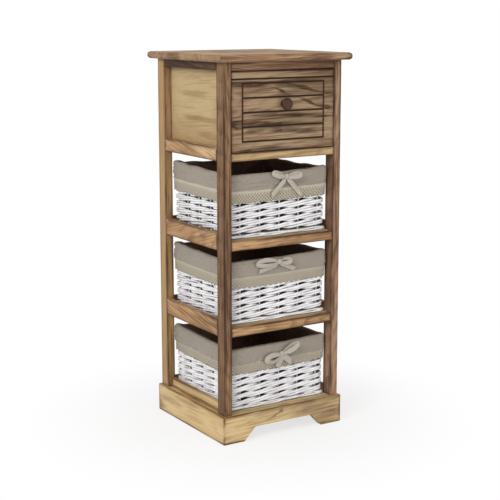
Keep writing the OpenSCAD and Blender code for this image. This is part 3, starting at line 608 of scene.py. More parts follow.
@dataclass(frozen=True)
class CottonLace(Finish):
    """Crocheted cotton lace: cream, matt and full of small eyelets. They are drawn 8 mm apart, about
    twice as coarse as the real ones, so that they show.

    Attributes:
        mesh: Distance between the eyelets of the net.
        height: Height of the band.
    """

    mesh: float = 8.0 * MM
    height: float = 26.0 * MM

    def pattern(self, g: Graph, place: Socket) -> tuple[Socket, Socket]:
        """Eyelets where sin(u + v) sin(u - v) is high, on UVs in metres with v up from the scallops.

        A plain bar with a row of slots runs along the upper edge, and a zigzag of closed stitches
        crosses the net: it is where v is near a triangle wave of u with a period of three meshes.

        Args:
            g: The material's graph.
            place: The UVs.

        Returns:
            Colour and height.
        """
        add, h = g.add, self.height
        u, v, _ = add(SPLIT, place).node.outputs
        one, two = (add(SINE, add(TIMES, add(way, u, v), math.pi / self.mesh)) for way in (PLUS, MINUS))
        holes = add(FADE, add(SIZE, add(TIMES, one, two)), 0.3, 0.5)
        wave = add(TIMES, add(ZIGZAG, u, 1.5 * self.mesh), 1.1)
        stitch = add(SIZE, add(MINUS, add(MINUS, v, wave), 0.30 * h))
        net = add(TIMES, add(FADE, stitch, 0.9 * MM, 1.6 * MM), add(FADE, v, 0.80 * h, 0.76 * h))
        slot = add(FADE, add(SIZE, add(MINUS, v, 0.86 * h)), 1.3 * MM, 0.6 * MM)
        slot = add(TIMES, slot, add(FADE, add(SINE, add(TIMES, u, TAU / self.mesh)), 0.0, 0.5))
        holes = add(MOST, add(TIMES, holes, net), slot)
        yarn = g.clouds(place, (900, 900, 900), 2.0)
        # Painted shade: the eyelets are not cut through; they are painted dark brown 675b4c for the shade
        # seen through them.
        colour = g.layers("c5bcaa", (add(FADE, yarn, 0.35, 0.65), "aca28e"),
                          (add(TIMES, holes, 0.7), "675b4c"))
        return colour, add(MINUS, 1.0, holes)


@dataclass(frozen=True)
class TurnedKnob(Finish):
    """A turned hardwood knob, flamed like the front: dark brown with a charred ring round the hollow.

    Attributes:
        middle: Height of its axis.
        radius: Its radius.
    """

    middle: float = 786.6 * MM
    radius: float = 14.3 * MM

    def pattern(self, g: Graph, place: Socket) -> tuple[Socket, Socket]:
        """The char follows the distance to the axis, the grain lies along X."""
        add, r = g.add, self.radius
        grain = g.clouds(place, (60, 700, 700), 3.0)
        centred = add(V_TIMES, add(V_MINUS, place, (0.0, 0.0, self.middle)), (1.0, 0.0, 1.0))
        away = add(V_LENGTH, centred, out=1)
        ring = add(FADE, add(SIZE, add(MINUS, away, 0.72 * r)), 0.18 * r, 0.05 * r, 0.0, 0.8)
        char = add(MOST, ring, add(FADE, away, 0.88 * r, r, 0.0, 0.7))
        return g.layers("53301b", (add(FADE, grain, 0.35, 0.65), "331c0e"), (char, "35190f")), grain


@dataclass(frozen=True)
class ZincSteel(Finish):
    """Zinc plated steel screws: pale grey with a slight mottle."""

    def pattern(self, g: Graph, place: Socket) -> tuple[Socket, Socket]:
        """Mottle 3 mm wide."""
        fine = g.clouds(place, (300, 300, 300), 2.0)
        return g.layers("b9bbc0", (fine, "d5d6da")), fine


def paint(obj: Piece, material: Material) -> None:
    """Puts one material on a CAD node or a piece."""
    if not obj.material_slots:
        obj.data.materials.append(material)
    for place in obj.material_slots:
        place.material = material


@dataclass(frozen=True)
class Woodwork:
    """Everything that CAD models in full: boards, knob and screws.

    Attributes:
        nodes: The CAD nodes by name.
        grooves: Grooves of the drawer front.
    """

    nodes: dict[str, Piece]
    grooves: Grooves = Grooves()

    def dress(self) -> None:
        """Gives each board its own cut of wood, and the knob and the screws their finish."""
        timber = Timber()
        for seed, board in enumerate(sorted(BOARDS, key=lambda one: one.node), 11):
            grooves = self.grooves if board.node == "drawer_front" else None
            paint(self.nodes[board.node], timber.material(board, seed, grooves))
        paint(self.nodes["drawer_knob"], TurnedKnob("turned knob wood", 0.6).material())
        steel = ZincSteel("zinc plated steel", 0.35, 1.0).material()
        for name in ("carcass_screws", "knob_screw"):
            paint(self.nodes[name], steel)
        LOG.info("woodwork: %d boards, a knob and the screws", len(BOARDS))


# ------------------------------------------------------------------ meshes


@dataclass(frozen=True)
class Surface:
    """Points, quads and UVs of one surface.

    Attributes:
        points: N by 3 points in metres.
        quads: M by 4 point numbers.
        uv: N by 2 coordinates in metres, or None.
    """

    points: np.ndarray
    quads: np.ndarray
    uv: np.ndarray | None = None

    @staticmethod
    def grid(points: np.ndarray, uv: np.ndarray, closed: bool = True, flip: bool = False) -> Surface:
        """Fills the quads between the points of a grid.

        Args:
            points: Rows by columns by 3.
            uv: Rows by columns by 2.
            closed: Whether the last column joins the first.
            flip: Whether the faces look the other way.

        Returns:
            The surface.
        """
        rows, cols = points.shape[:2]
        j = np.arange(cols if closed else cols - 1)
        start = np.arange(rows - 1)[:, None] * cols
        a, b = (start + j).ravel(), (start + (j + 1) % cols).ravel()
        quads = np.stack([a, b, b + cols, a + cols], axis=1)
        return Surface(points.reshape(-1, 3), quads[:, ::-1] if flip else quads, uv.reshape(-1, 2))

    @staticmethod
    def joined(parts: Sequence[Surface]) -> Surface:
        """Puts several surfaces into one.

        Args:
            parts: The surfaces, all with UVs or all without.

        Returns:
            One surface.
        """
        starts = np.cumsum([0] + [len(part.points) for part in parts])
        quads = np.concatenate([part.quads + start for part, start in zip(parts, starts)])
        uv = None if parts[0].uv is None else np.concatenate([part.uv for part in parts])
        return Surface(np.concatenate([part.points for part in parts]), quads, uv)

    def piece(self, name: str, wall: float = 0.0) -> Piece:
        """Makes the mesh object.

        Args:
            name: The piece's name.
            wall: Thickness for an open cloth surface, half to each side, or 0 for none.

        Returns:
            The linked object, at the origin.
        """
        mesh = bpy.data.meshes.new(name)
        mesh.vertices.add(len(self.points))
        mesh.vertices.foreach_set("co", self.points.astype(np.float32).ravel())
        mesh.loops.add(self.quads.size)
        mesh.loops.foreach_set("vertex_index", self.quads.astype(np.int32).ravel())
        mesh.polygons.add(len(self.quads))
        mesh.polygons.foreach_set("loop_start", np.arange(0, self.quads.size, 4, dtype=np.int32))
        mesh.update(calc_edges=True)
        if self.uv is not None:
            layer = mesh.uv_layers.new(name="cloth")
            layer.data.foreach_set("uv", self.uv[self.quads.ravel()].astype(np.float32).ravel())
        mesh.validate()
        mesh.shade_smooth()
        made = bpy.data.objects.new(name, mesh)
        bpy.context.scene.collection.objects.link(made)
        if wall:
            skin = made.modifiers.new("thickness", "SOLIDIFY")
            skin.thickness, skin.offset = wall, 0.0
        return made


def ring_tube(line: np.ndarray, away: np.ndarray, half_out: np.ndarray, half_up: np.ndarray) -> Surface:
    """A closed rod of eight sides round a closed line.

    At angle a, a ring's point is line + away half_out cos(a) + up half_up sin(a), where up is away
    crossed with the line's direction.

    Args:
        line: N by 3 points of the closed line.
        away: N by 3 unit vectors that point away from the basket.
        half_out: N half thicknesses along away.
        half_up: N half thicknesses across it.

    Returns:
        The rod.
    """
    sides = 8
    run = np.roll(line, -1, axis=0) - np.roll(line, 1, axis=0)
    up = np.cross(away, run)
    up /= np.linalg.norm(up, axis=1, keepdims=True)
    a = np.arange(sides) / sides * TAU
    rings = (line[:, None, :] + away[:, None, :] * (half_out[:, None] * np.cos(a))[:, :, None]
             + up[:, None, :] * (half_up[:, None] * np.sin(a))[:, :, None])
    i, j = np.meshgrid(np.arange(len(line)), np.arange(sides), indexing="ij")
    after, beside = (i + 1) % len(line), (j + 1) % sides
    quads = np.stack([i * sides + j, after * sides + j, after * sides + beside, i * sides + beside], axis=-1)
    return Surface(rings.reshape(-1, 3), quads.reshape(-1, 4))


def waves(u: np.ndarray, rng: np.random.Generator, counts: Sequence[int]) -> np.ndarray:
    """A smooth closed wave round a basket, about 1 high: cosines of whole numbers of periods."""
    parts = [rng.normal(0, 1) * np.cos(TAU * count * u + rng.uniform(0, TAU)) for count in counts]
    return np.sum(parts, axis=0) / math.sqrt(len(counts))


def through(at: np.ndarray, keys: Keys) -> np.ndarray:
    """The values at some places of straight lines through (place, value) keys."""
    return np.interp(at, *np.array(keys).T)


def around_keys(u: np.ndarray, keys: Keys) -> np.ndarray:
    """A closed curve through (fraction, value) keys in rising order, softened over about 10 mm."""
    line = through(u, ((keys[-1][0] - 1, keys[-1][1]), *keys, (keys[0][0] + 1, keys[0][1])))
    reach = max(1, round(0.01 * len(u)))
    kernel = np.hanning(2 * reach + 3)[1:-1]
    wrapped = np.concatenate([line[-reach:], line, line[:reach]])
    return np.convolve(wrapped, kernel / kernel.sum(), mode="valid")


def profile(section: Keys, count: int) -> tuple[np.ndarray, np.ndarray]:
    """Distances out and heights in metres, as columns, at even steps along (out, height) points in mm."""
    steps = np.linspace(0, len(section) - 1, count)
    out, z = (np.interp(steps, np.arange(len(section)), values) for values in np.array(section).T * MM)
    return out[:, None], z[:, None]


# ------------------------------------------------------------------ baskets


@dataclass(frozen=True)
class StakeLine:
    """The rounded rectangle that a basket's stakes stand on, in the sizes of the CAD model.

    Attributes:
        floor: Height of the basket's underside.
        rim_x: Half width at the rim.
        rim_y: Half depth at the rim.
        corner: Corner radius at the rim.
        flare: How much wider the rim is than the floor, on each side.
        height: Overall height.
        middle_y: Where its middle lies.
        stakes: Number of stakes.
        shift: Distance of the first stake from the middle of the front.
        knuckle: How far the rods stand out further where they turn a corner.
    """

    floor: float
    rim_x: float = 128.5 * MM
    rim_y: float = 124.5 * MM
    corner: float = 12.0 * MM
    flare: float = 4.0 * MM
    height: float = 150.0 * MM
    middle_y: float = -2.0 * MM
    stakes: int = 18
    shift: float = 7.0 * MM
    knuckle: float = 6.0 * MM

    @property
    def around(self) -> float:
        """Length of the line at the rim."""
        return 4 * (self.rim_x + self.rim_y - 2 * self.corner) + TAU * self.corner

    def outline(self, u: np.ndarray, hx: np.ndarray, hy: np.ndarray, r: np.ndarray) -> tuple[np.ndarray, ...]:
        """Points on rounded rectangles: straight sides and quarter circles in turn.

        Args:
            u: Fractions of the way round, from the middle of the front, counter-clockwise from above.
            hx: Half widths.
            hy: Half depths.
            r: Corner radii.

        Returns:
            x, y and the angle of the outward direction.
        """
        u, hx, hy, r = np.broadcast_arrays(np.asarray(u, float) % 1.0, hx, hy, r)
        a, b, q = hx - r, hy - r, math.pi * r / 2
        s = u * (4 * a + 4 * b + 4 * q)
        starts = [0 * a, a, a + q, a + q + 2 * b, a + 2 * q + 2 * b, 3 * a + 2 * q + 2 * b,
                  3 * a + 3 * q + 2 * b, 3 * a + 3 * q + 4 * b, 3 * a + 4 * q + 4 * b]
        x, y, angle = np.zeros_like(s), np.zeros_like(s), np.zeros_like(s)
        for k, start in enumerate(starts):
            run, side = s - start, k // 2
            if k % 2:
                turn = -math.pi / 2 + side * math.pi / 2 + run / np.maximum(q, 1e-9) * math.pi / 2
                px = np.where(side in (0, 1), a, -a) + r * np.cos(turn)
                py = np.where(side in (1, 2), b, -b) + r * np.sin(turn)
            else:
                turn = np.full_like(s, (side - 1) * math.pi / 2)
                px = [run, hx, a - run, -hx, run - a][side]
                py = [-hy, run - b, hy, b - run, -hy][side]
            here = run >= 0
            x, y, angle = np.where(here, px, x), np.where(here, py, y), np.where(here, turn, angle)
        return x, y, angle

    def lean(self, z: np.ndarray) -> np.ndarray:
        """How far the wall stands in at a height above the basket's underside."""
        return self.flare * (z / self.height - 1)

    def placed(self, x: np.ndarray, y: np.ndarray, z: np.ndarray) -> np.ndarray:
        """Points from places that are seen from the basket's middle and underside."""
        return np.stack([x, y + self.middle_y, self.floor + z], axis=-1)

    def beside(self, i: np.ndarray, z: np.ndarray, out: np.ndarray) -> tuple[np.ndarray, np.ndarray]:
        """Points beside the stakes, for rods.

        Args:
            i: Place along the line, counted in stakes.
            z: Heights above the basket's underside.
            out: Distances outwards.

        Returns:
            Points and outward directions.
        """
        grow = self.lean(z)
        u = i / self.stakes + self.shift / self.around
        x, y, angle = self.outline(u, self.rim_x + grow, self.rim_y + grow, self.corner + grow)
        out = out + self.knuckle * np.sin(2 * angle) ** 2
        away = np.stack([np.cos(angle), np.sin(angle), 0 * angle], axis=-1)
        return self.placed(x, y, z) + away * np.broadcast_to(out, x.shape)[..., None], away

    def cloth(self, u: np.ndarray, z: np.ndarray, out: np.ndarray, corner: np.ndarray | float) -> np.ndarray:
        """Points on cloth round the basket, whose corners have a radius of their own.

        Args:
            u: Fractions round the basket.
            z: Heights above the basket's underside.
            out: Distances outwards of the line of the stakes.
            corner: Corner radii.

        Returns:
            Points.
        """
        u, z, out, corner = np.broadcast_arrays(u, z, out, corner)
        grow = self.lean(np.minimum(z, self.height)) + out
        x, y, _ = self.outline(u, self.rim_x + grow, self.rim_y + grow, corner)
        return self.placed(x, y, z)


@dataclass(frozen=True)
class Wicker:
    """The woven wall: rows of three rods, and the border round the foot.

    Attributes:
        line: The line of the stakes.
        seed: Varies the rods.
        first: Height of the first row's middle.
        half_up: Half the height of a rod.
        half_out: Half its thickness.
        rows: Woven rows, the last one under the lace.
        pitch: Distance between rows.
        rise: How far a rod climbs on each side of a row's middle.
        climb: Its height as a share of rise, by stakes passed since it was last behind one.
        reach: Distance of a rod's middle from the line of the stakes.
        swing: Its distance as a share of reach, by stakes passed.
        belly: How far the wall bulges out, by height.
        fault: How far a rod is off its place.
        border: Half thickness and half height of the border's rods.
        lowest: Distance out and height of the lowest one's middle.
        twist: How far they swing out and up as they twist.
        fan: How much higher each next one lies.
    """

    line: StakeLine
    seed: int
    first: float
    half_up: float
    half_out: float = 2.2 * MM
    rows: int = 6
    pitch: float = 16.6 * MM
    rise: float = 5.8 * MM
    climb: Keys = ((0, 0), (0.32, -1), (0.72, -0.84), (1, -0.38), (1.28, -0.14), (1.72, 0.14), (2, 0.38),
                   (2.28, 0.84), (2.68, 1), (3, 0))
    reach: float = 4.8 * MM
    swing: Keys = ((0, -1.05), (0.12, -0.9), (0.3, 0.2), (0.5, 0.9), (1, 1.06), (1.5, 0.98), (2, 1.06),
                   (2.5, 0.9), (2.7, 0.2), (2.88, -0.9), (3, -1.05))
    belly: Keys = ((0.0, 3.2 * MM), (90 * MM, 0.8 * MM))
    fault: float = 0.35 * MM
    border: tuple[float, float] = (1.9 * MM, 2.2 * MM)
    lowest: tuple[float, float] = (7.2 * MM, 3.1 * MM)
    twist: tuple[float, float] = (1.0 * MM, 3.2 * MM)
    fan: float = 0.9 * MM

    def rod(self, row: int, strand: int, rng: np.random.Generator) -> Surface:
        """One rod of a row, which passes in front of two stakes and behind the third.

        With t counted in stakes from a pass behind a stake, its height climbs from -rise at 0.32 to
        +rise at 2.68, most of it beside the stakes, and drops again behind the next one. Its distance
        from the line of the stakes swings from -reach at 0 to +reach between 0.5 and 2.5.

        Args:
            row: Row number from the foot.
            strand: Which of the three rods.
            rng: Source of its small faults.

        Returns:
            The rod.
        """
        steps = 14
        k = np.arange(self.line.stakes * steps) / steps
        t, u = (k - strand) % 3.0, k / self.line.stakes
        high = self.first + row * self.pitch + self.rise * through(t, self.climb) + rng.normal(0, self.fault)
        high = high + self.fault * waves(u, rng, (4, 7, 11))
        out = self.reach * through(t, self.swing) + through(high, self.belly)
        line, away = self.line.beside(k, high, out)
        for _ in range(3):
            line = (np.roll(line, 1, axis=0) + 2 * line + np.roll(line, -1, axis=0)) / 4
        thick = 1.0 + 0.08 * waves(u, rng, (1, 2, 5)) + rng.uniform(-0.08, 0.05)
        return ring_tube(line, away, self.half_out * thick, self.half_up * thick)

    def foot(self) -> list[Surface]:
        """The border: three rods that twist round the edge of the base and leave long slits above them."""
        steps = 12
        k = np.arange(self.line.stakes * steps) / steps
        rods = []
        for strand in range(3):
            turn = TAU * (k + strand) / 3
            high = self.lowest[1] + strand * self.fan + self.twist[1] * np.maximum(np.sin(turn), -0.25)
            line, away = self.line.beside(k, high, self.lowest[0] + self.twist[0] * np.cos(turn))
            rods.append(ring_tube(line, away, *(np.full(len(k), half) for half in self.border)))
        return rods

    def build(self, name: str) -> Piece:
        """Weaves the wall and its border into one piece."""
        rng = np.random.default_rng(self.seed)
        rods = [self.rod(row, strand, rng) for row in range(self.rows) for strand in range(3)]
        return Surface.joined(rods + self.foot()).piece(name)


@dataclass(frozen=True)
class Cloth:
    """The lining: taupe where it folds over the rim, with a band of lace at the hem, and dark brown inside as
    painted shade.

    Attributes:
        line: The line of the stakes.
        seed: Varies the folds.
        lace: Height of the lace's lower edge.
        hem: Height of the hem.
        corner_out: Corner radius outside the basket.
        corner_in: Corner radius inside.
        rim: Height of the rim in mm, by the fraction of the way round.
        fold: Section of the taupe cloth, in mm.
        lined: Section of the cloth inside, dark brown as painted shade, in mm.
        base: Height of the painted shade cloth on the basket's floor.
        walls: Thickness of the taupe cloth, of the lace and of the painted shade cloth inside.
        lobes: Scallops of the lace.
        scallop: Depth of a scallop.
        hang: Distance of the lace from the line of the stakes.
        creases: Creases in the taupe cloth.
    """

    line: StakeLine
    seed: int
    lace: float
    hem: float = 112.0 * MM
    corner_out: float = 11.0 * MM
    corner_in: float = 7.0 * MM
    rim: Keys = (
        (0.0, 149), (0.06, 151), (0.115, 154), (0.1275, 156), (0.14, 153), (0.25, 150), (0.36, 152),
        (0.3725, 156), (0.385, 152), (0.5, 149), (0.61, 153), (0.6275, 161), (0.645, 157), (0.72, 154),
        (0.82, 151), (0.862, 150), (0.8725, 149), (0.884, 146), (0.94, 146))
    fold: Keys = (
        (2.0, 149.2), (4.6, 149.6), (7.2, 148.6), (9.0, 146.2), (9.9, 142.5), (10.2, 137.0), (10.4, 131.0),
        (10.5, 125.0), (10.4, 119.0), (10.2, 114.5), (9.9, 112.0))
    lined: Keys = (
        (5.5, 148.3), (2.0, 148.9), (-3.0, 148.8), (-6.8, 147.4), (-8.3, 143.0), (-8.5, 110.0),
        (-8.5, 60.0), (-8.6, 16.0), (-10.5, 11.2), (-14.0, 10.2))
    base: float = 10.2 * MM
    walls: Triple = (0.9 * MM, 0.6 * MM, 0.8 * MM)
    lobes: int = 72
    scallop: float = 3.6 * MM
    hang: float = 8.9 * MM
    creases: int = 34

    def lift(self, u: np.ndarray, rng: np.random.Generator) -> np.ndarray:
        """How far the rim stands above the basket's height round the basket, in metres."""
        lift = around_keys(u, self.rim) * MM - self.line.height + 0.7 * MM * waves(u, rng, (5, 8, 13, 21))
        return np.maximum(lift, -1.0 * MM)

    def flat(self, u: np.ndarray, v: np.ndarray, shape: tuple[int, ...]) -> np.ndarray:
        """UVs in metres: the way round the basket, and v."""
        return np.stack([np.broadcast_to(u * self.line.around, shape), np.broadcast_to(v, shape)], axis=-1)

    def cover(self, name: str) -> Piece:
        """The taupe cloth from the fold on the rim down to the hem.

        Its height follows the rim in full at the top and by half at the hem. Horizontal creases are
        ridges exp(-(z/width)^2) that fade out along the basket, and upright puckers grow towards the
        rim and the hem.

        Args:
            name: The piece's name.

        Returns:
            The piece.
        """
        rng = np.random.default_rng(self.seed)
        u = np.arange(480) / 480
        out, z = profile(self.fold, 41)
        steps = np.hypot(np.diff(out, axis=0), np.diff(z, axis=0))
        length = np.concatenate([[0], np.cumsum(steps)])[:, None]
        relief = np.zeros((len(z), len(u)))
        for _ in range(self.creases):
            height, width = rng.uniform(116, 144) * MM, rng.uniform(1.3, 3.4) * MM
            start, long, tilt = rng.uniform(0, 1), rng.uniform(0.02, 0.09), rng.uniform(-0.16, 0.16)
            off = (u - start + 0.5) % 1 - 0.5
            ridge = np.exp(-(((z - height - tilt * off * self.line.around * 0.4) / width) ** 2))
            relief += rng.uniform(-2.6, 1.4) * MM * np.exp(-((off / long) ** 2)) * ridge
        pucker = 0.65 * MM * waves(u, rng, (24, 37, 58)) * np.abs(np.linspace(-1, 1, len(z)))[:, None] ** 1.5
        slack = 0.6 * MM * waves(u, rng, (5, 8, 13))
        face = np.clip((out - 7 * MM) / (3 * MM), 0, 1)
        o = out + np.clip(relief + pucker + slack, -2.6 * MM, 1.0 * MM) * face
        high = z + self.lift(u, rng) * through(z, ((self.hem, 0.5), (self.line.height, 1.0)))
        points = self.line.cloth(u, high, o, self.corner_out)
        return Surface.grid(points, self.flat(u, -length, o.shape), flip=True).piece(name, self.walls[0])

    def band(self, name: str) -> Piece:
        """The lace: a band that hangs from behind the hem, with lobes |sin| along its lower edge.

        Args:
            name: The piece's name.

        Returns:
            The piece.
        """
        rng = np.random.default_rng(self.seed)
        u, v = np.arange(1440) / 1440, np.linspace(0, 1, 9)[:, None]
        lift = 0.5 * self.lift(u, rng)
        low = self.lace + self.scallop * (1 - np.abs(np.sin(math.pi * self.lobes * u)))
        z = (self.hem + 2 * MM) * (1 - v) + low * v
        sway = 0.30 * MM * waves(u, rng, (9, 17, 31)) + 0.25 * MM * np.sin(TAU * self.lobes * u)
        points = self.line.cloth(u, z + lift, self.hang + sway * v, self.corner_out - 1 * MM)
        uv = self.flat(u, z - self.lace, z.shape)
        return Surface.grid(points, uv, flip=True).piece(name, self.walls[1])

    def inside(self, name: str) -> Piece:
        """The inside lining in painted shade: from under the fold over the wicker, down the inside and across
        the floor.

        Slow folds lean its wall inwards, and its floor closes in rings towards the middle.

        Args:
            name: The piece's name.

        Returns:
            The piece.
        """
        rng = np.random.default_rng(self.seed)
        u = np.arange(320) / 320
        lift = self.lift(u, rng)
        out, z = profile(self.lined, 46)
        fold = np.clip(waves(u, rng, (4, 7, 12, 19)), -1, 1.5)
        o = out - 1.3 * MM * (1 + fold) * np.sin(np.pi * np.clip((z - 10 * MM) / (136 * MM), 0, 1))
        high = z + lift * np.clip((z / self.line.height - 0.5) * 2, 0, 1)
        corner = through(out, ((-9 * MM, self.corner_in), (6 * MM, self.corner_out)))
        wall = self.line.cloth(u, high, o, corner)
        centre = self.line.placed(0.0, 0.0, self.base)
        rings = centre + (wall[-1] - centre) * np.array([0.8, 0.55, 0.3, 0.02])[:, None, None]
        uv = np.concatenate([self.flat(u, -z, o.shape), rings[:, :, :2]])
        return Surface.grid(np.concatenate([wall, rings]), uv).piece(name, self.walls[2])


@dataclass(frozen=True)
class Strip:
    """A run of ribbon, seen from the front.

    Attributes:
        path: Points (x, z, out) in mm: from the basket's middle, above its underside, and off the cloth.
        width: Width of the ribbon in mm.
        turn: Degrees that the ribbon stands on edge, 0 when it lies flat on the cloth.
        slant: How far its end is cut at a slant, in mm.
    """

    path: tuple[Triple, ...]
    width: float
    turn: float = 0.0
    slant: float = 0.0


@dataclass(frozen=True)
class Bow:
    """A cotton ribbon, tied in a bow on the front of a basket.

    Attributes:
        line: The line of the basket's stakes.
        knot: Middle of the knot in mm from the basket's middle and above its underside.
        strips: Its loops and tails.
        off: Distance of the cloth's face from the line of the stakes.
        lump: Half sizes of the knot along x, out and z, in mm.
        proud: Distance of the knot's middle off the cloth, in mm.
        wall: Thickness of the ribbon.
    """

    line: StakeLine
    knot: tuple[float, float]
    strips: tuple[Strip, ...]
    off: float = 10.9 * MM
    lump: Triple = (5.8, 3.8, 6.4)
    proud: float = 4.6
    wall: float = 1.0 * MM

    def place(self, seen: np.ndarray) -> np.ndarray:
        """Turns (x, z, out) in mm, seen from the front, into points."""
        x, z, out = np.moveaxis(seen * MM, -1, 0)
        return self.line.placed(x, -self.line.rim_y - self.off - out, z)

    def strip(self, strip: Strip) -> Surface:
        """Carries the ribbon's width along a smooth line through the path.

        The line is a Catmull-Rom curve. The width lies across it, from flat on the cloth to on edge by
        the strip's turn, is gathered to less than half at the knot, and bulges like a shallow arch.

        Args:
            strip: The run of ribbon.

        Returns:
            The open surface.
        """
        keys = np.array(strip.path, float)
        keys = np.concatenate([[2 * keys[0] - keys[1]], keys, [2 * keys[-1] - keys[-2]]])
        count = 48
        t = np.linspace(0, len(keys) - 3 - 1e-9, count)
        i = t.astype(int)
        f = (t - i)[:, None]
        a, b, c, d = keys[i], keys[i + 1], keys[i + 2], keys[i + 3]
        line = 0.5 * (2 * b + (c - a) * f + (2 * a - 5 * b + 4 * c - d) * f**2
                      + (3 * b - a - 3 * c + d) * f**3)
        run = np.gradient(line, axis=0)
        run[:, 2] *= 0.2
        run /= np.linalg.norm(run, axis=1, keepdims=True)
        side = np.stack([-run[:, 1], run[:, 0], np.zeros(count)], axis=1)
        side[1:] *= np.cumprod(np.where(np.sum(side[1:] * side[:-1], axis=1) >= 0, 1.0, -1.0))[:, None]
        for _ in range(4):
            side[1:-1] = (side[:-2] + 2 * side[1:-1] + side[2:]) / 4
        side /= np.linalg.norm(side, axis=1, keepdims=True)
        turn = math.radians(strip.turn)
        across = side * math.cos(turn) + np.array([0.0, 0.0, 1.0]) * math.sin(turn)
        s = np.linspace(-0.5, 0.5, 11)
        share = np.linspace(0, 1, count)
        ends = np.minimum(share, 1 - share) if strip.turn else share
        gather = 0.4 + 0.6 * np.clip(ends * 5, 0, 1)[:, None]
        grid = line[:, None, :] + across[:, None, :] * (s * strip.width * gather)[:, :, None]
        grid[:, :, 2] += (0.9 * (1 - (2 * s) ** 2) * math.cos(turn)
                          + strip.width * 0.5 * math.sin(turn) * gather)
        grid[-4:] += run[-1] * (strip.slant * s)[:, None] * np.linspace(0.25, 1, 4)[:, None, None]
        long = np.concatenate([[0], np.cumsum(np.linalg.norm(np.diff(line, axis=0), axis=1))])
        uv = np.stack(np.broadcast_arrays(s * strip.width, long[:, None]), axis=-1)
        return Surface.grid(self.place(grid), uv * MM, closed=False)

    def ribbon(self, name: str) -> Piece:
        """Makes the loops and tails one piece."""
        return Surface.joined([self.strip(strip) for strip in self.strips]).piece(name, self.wall)

    def ball(self, name: str) -> Piece:
        """The knot: a ball whose sines are raised to the power 0.75, which squares it, with five creases.

        Args:
            name: The piece's name.

        Returns:
            The piece.
        """
        rows, cols = 19, 32
        lat = np.linspace(-math.pi / 2 + 0.02, math.pi / 2 - 0.02, rows)[:, None]
        lon = np.arange(cols) / cols * TAU
        sines = np.cos(lat), np.sin(lat) + 0 * lon, np.cos(lon), np.sin(lon)
        level, up, right, ahead = (np.sign(v) * np.abs(v) ** 0.75 for v in sines)
        crease = 1 + 0.08 * np.cos(5 * lon + 2 * lat)
        x = self.knot[0] + self.lump[0] * level * right * crease
        out = self.proud + self.lump[1] * level * ahead * crease
        z = self.knot[1] + self.lump[2] * up
        seen, uv = np.stack([x, z, out], axis=-1), np.stack([x, z], axis=-1)
        made = Surface.grid(self.place(seen), uv * MM).piece(name)
        bm = bmesh.new()
        bm.from_mesh(made.data)
        bm.verts.ensure_lookup_table()
        for start in (0, (rows - 1) * cols):
            bm.faces.new([bm.verts[start + j] for j in range(cols)])
        bmesh.ops.recalc_face_normals(bm, faces=bm.faces)
        bm.to_mesh(made.data)
        bm.free()
        return made


# By basket from the top, as no two are alike: height of the underside, height of the first woven row
# above it, half the height of the rods and height of the lace's lower edge, in mm
ROWS = {1: (479.3, 20.5, 3.0, 82.0), 2: (277.3, 19.0, 3.15, 85.0), 3: (68.3, 17.5, 3.35, 88.0)}

# Knots, loops and tails as they were tied: an open bow with wide tails, a flat one, a twisted one
KNOTS = {
    1: ((16, 138), (
        Strip(((15, 138, 2), (4, 142, 3), (-8, 147, 4), (-18, 149, 5), (-20, 146, 7), (-10, 141, 8),
               (4, 138, 7), (15, 137, 3)), 12, 25),
        Strip(((17, 138, 2), (28, 142, 3), (40, 144, 4), (50, 142, 5), (49, 138, 6), (38, 136, 6),
               (28, 136, 5), (17, 137, 3)), 12, 35),
        Strip(((15, 136, 3), (8, 127, 4.5), (-2, 116, 3.5), (-12, 106, 2.5), (-23, 95, 2.5)), 11, 0, 6),
        Strip(((17, 136, 3), (26, 127, 5), (38, 114, 4), (48, 104, 2.5), (60, 92, 3)), 12, 0, -6))),
    2: ((-3, 140), (
        Strip(((-4, 140, 2), (-20, 145, 3), (-42, 147, 3), (-60, 143, 4), (-62, 138, 6), (-45, 135, 7),
               (-22, 135, 6), (-4, 139, 3)), 11, 20),
        Strip(((-2, 140, 2), (8, 145, 3), (18, 146, 4), (26, 142, 5), (22, 137, 6), (10, 136, 5),
               (-2, 139, 3)), 10, 40),
        Strip(((-2, 138, 3), (8, 133, 5), (22, 127, 4), (41, 118, 3)), 11, 0, 5),
        Strip(((-5, 137, 3), (-18, 132, 5), (-36, 126, 3), (-58, 122, 3)), 10, 0, 5))),
    3: ((5, 124), (
        Strip(((6, 125, 2), (16, 134, 3), (30, 143, 4), (44, 146, 5), (47, 141, 6), (36, 134, 7),
               (20, 127, 5), (6, 123, 3)), 12, 38),
        Strip(((4, 124, 2), (-8, 124, 3), (-24, 124, 4), (-37, 119, 5), (-38, 112, 6), (-24, 108, 7),
               (-10, 113, 6), (4, 122, 3)), 12, 32),
        Strip(((4, 121, 3), (2, 112, 4.5), (-2, 102, 3.5), (-6, 92, 3)), 16, 0, 7),
        Strip(((7, 121, 3), (14, 115, 4.5), (23, 108, 3.5), (34, 100, 3)), 15, 0, -7)))}


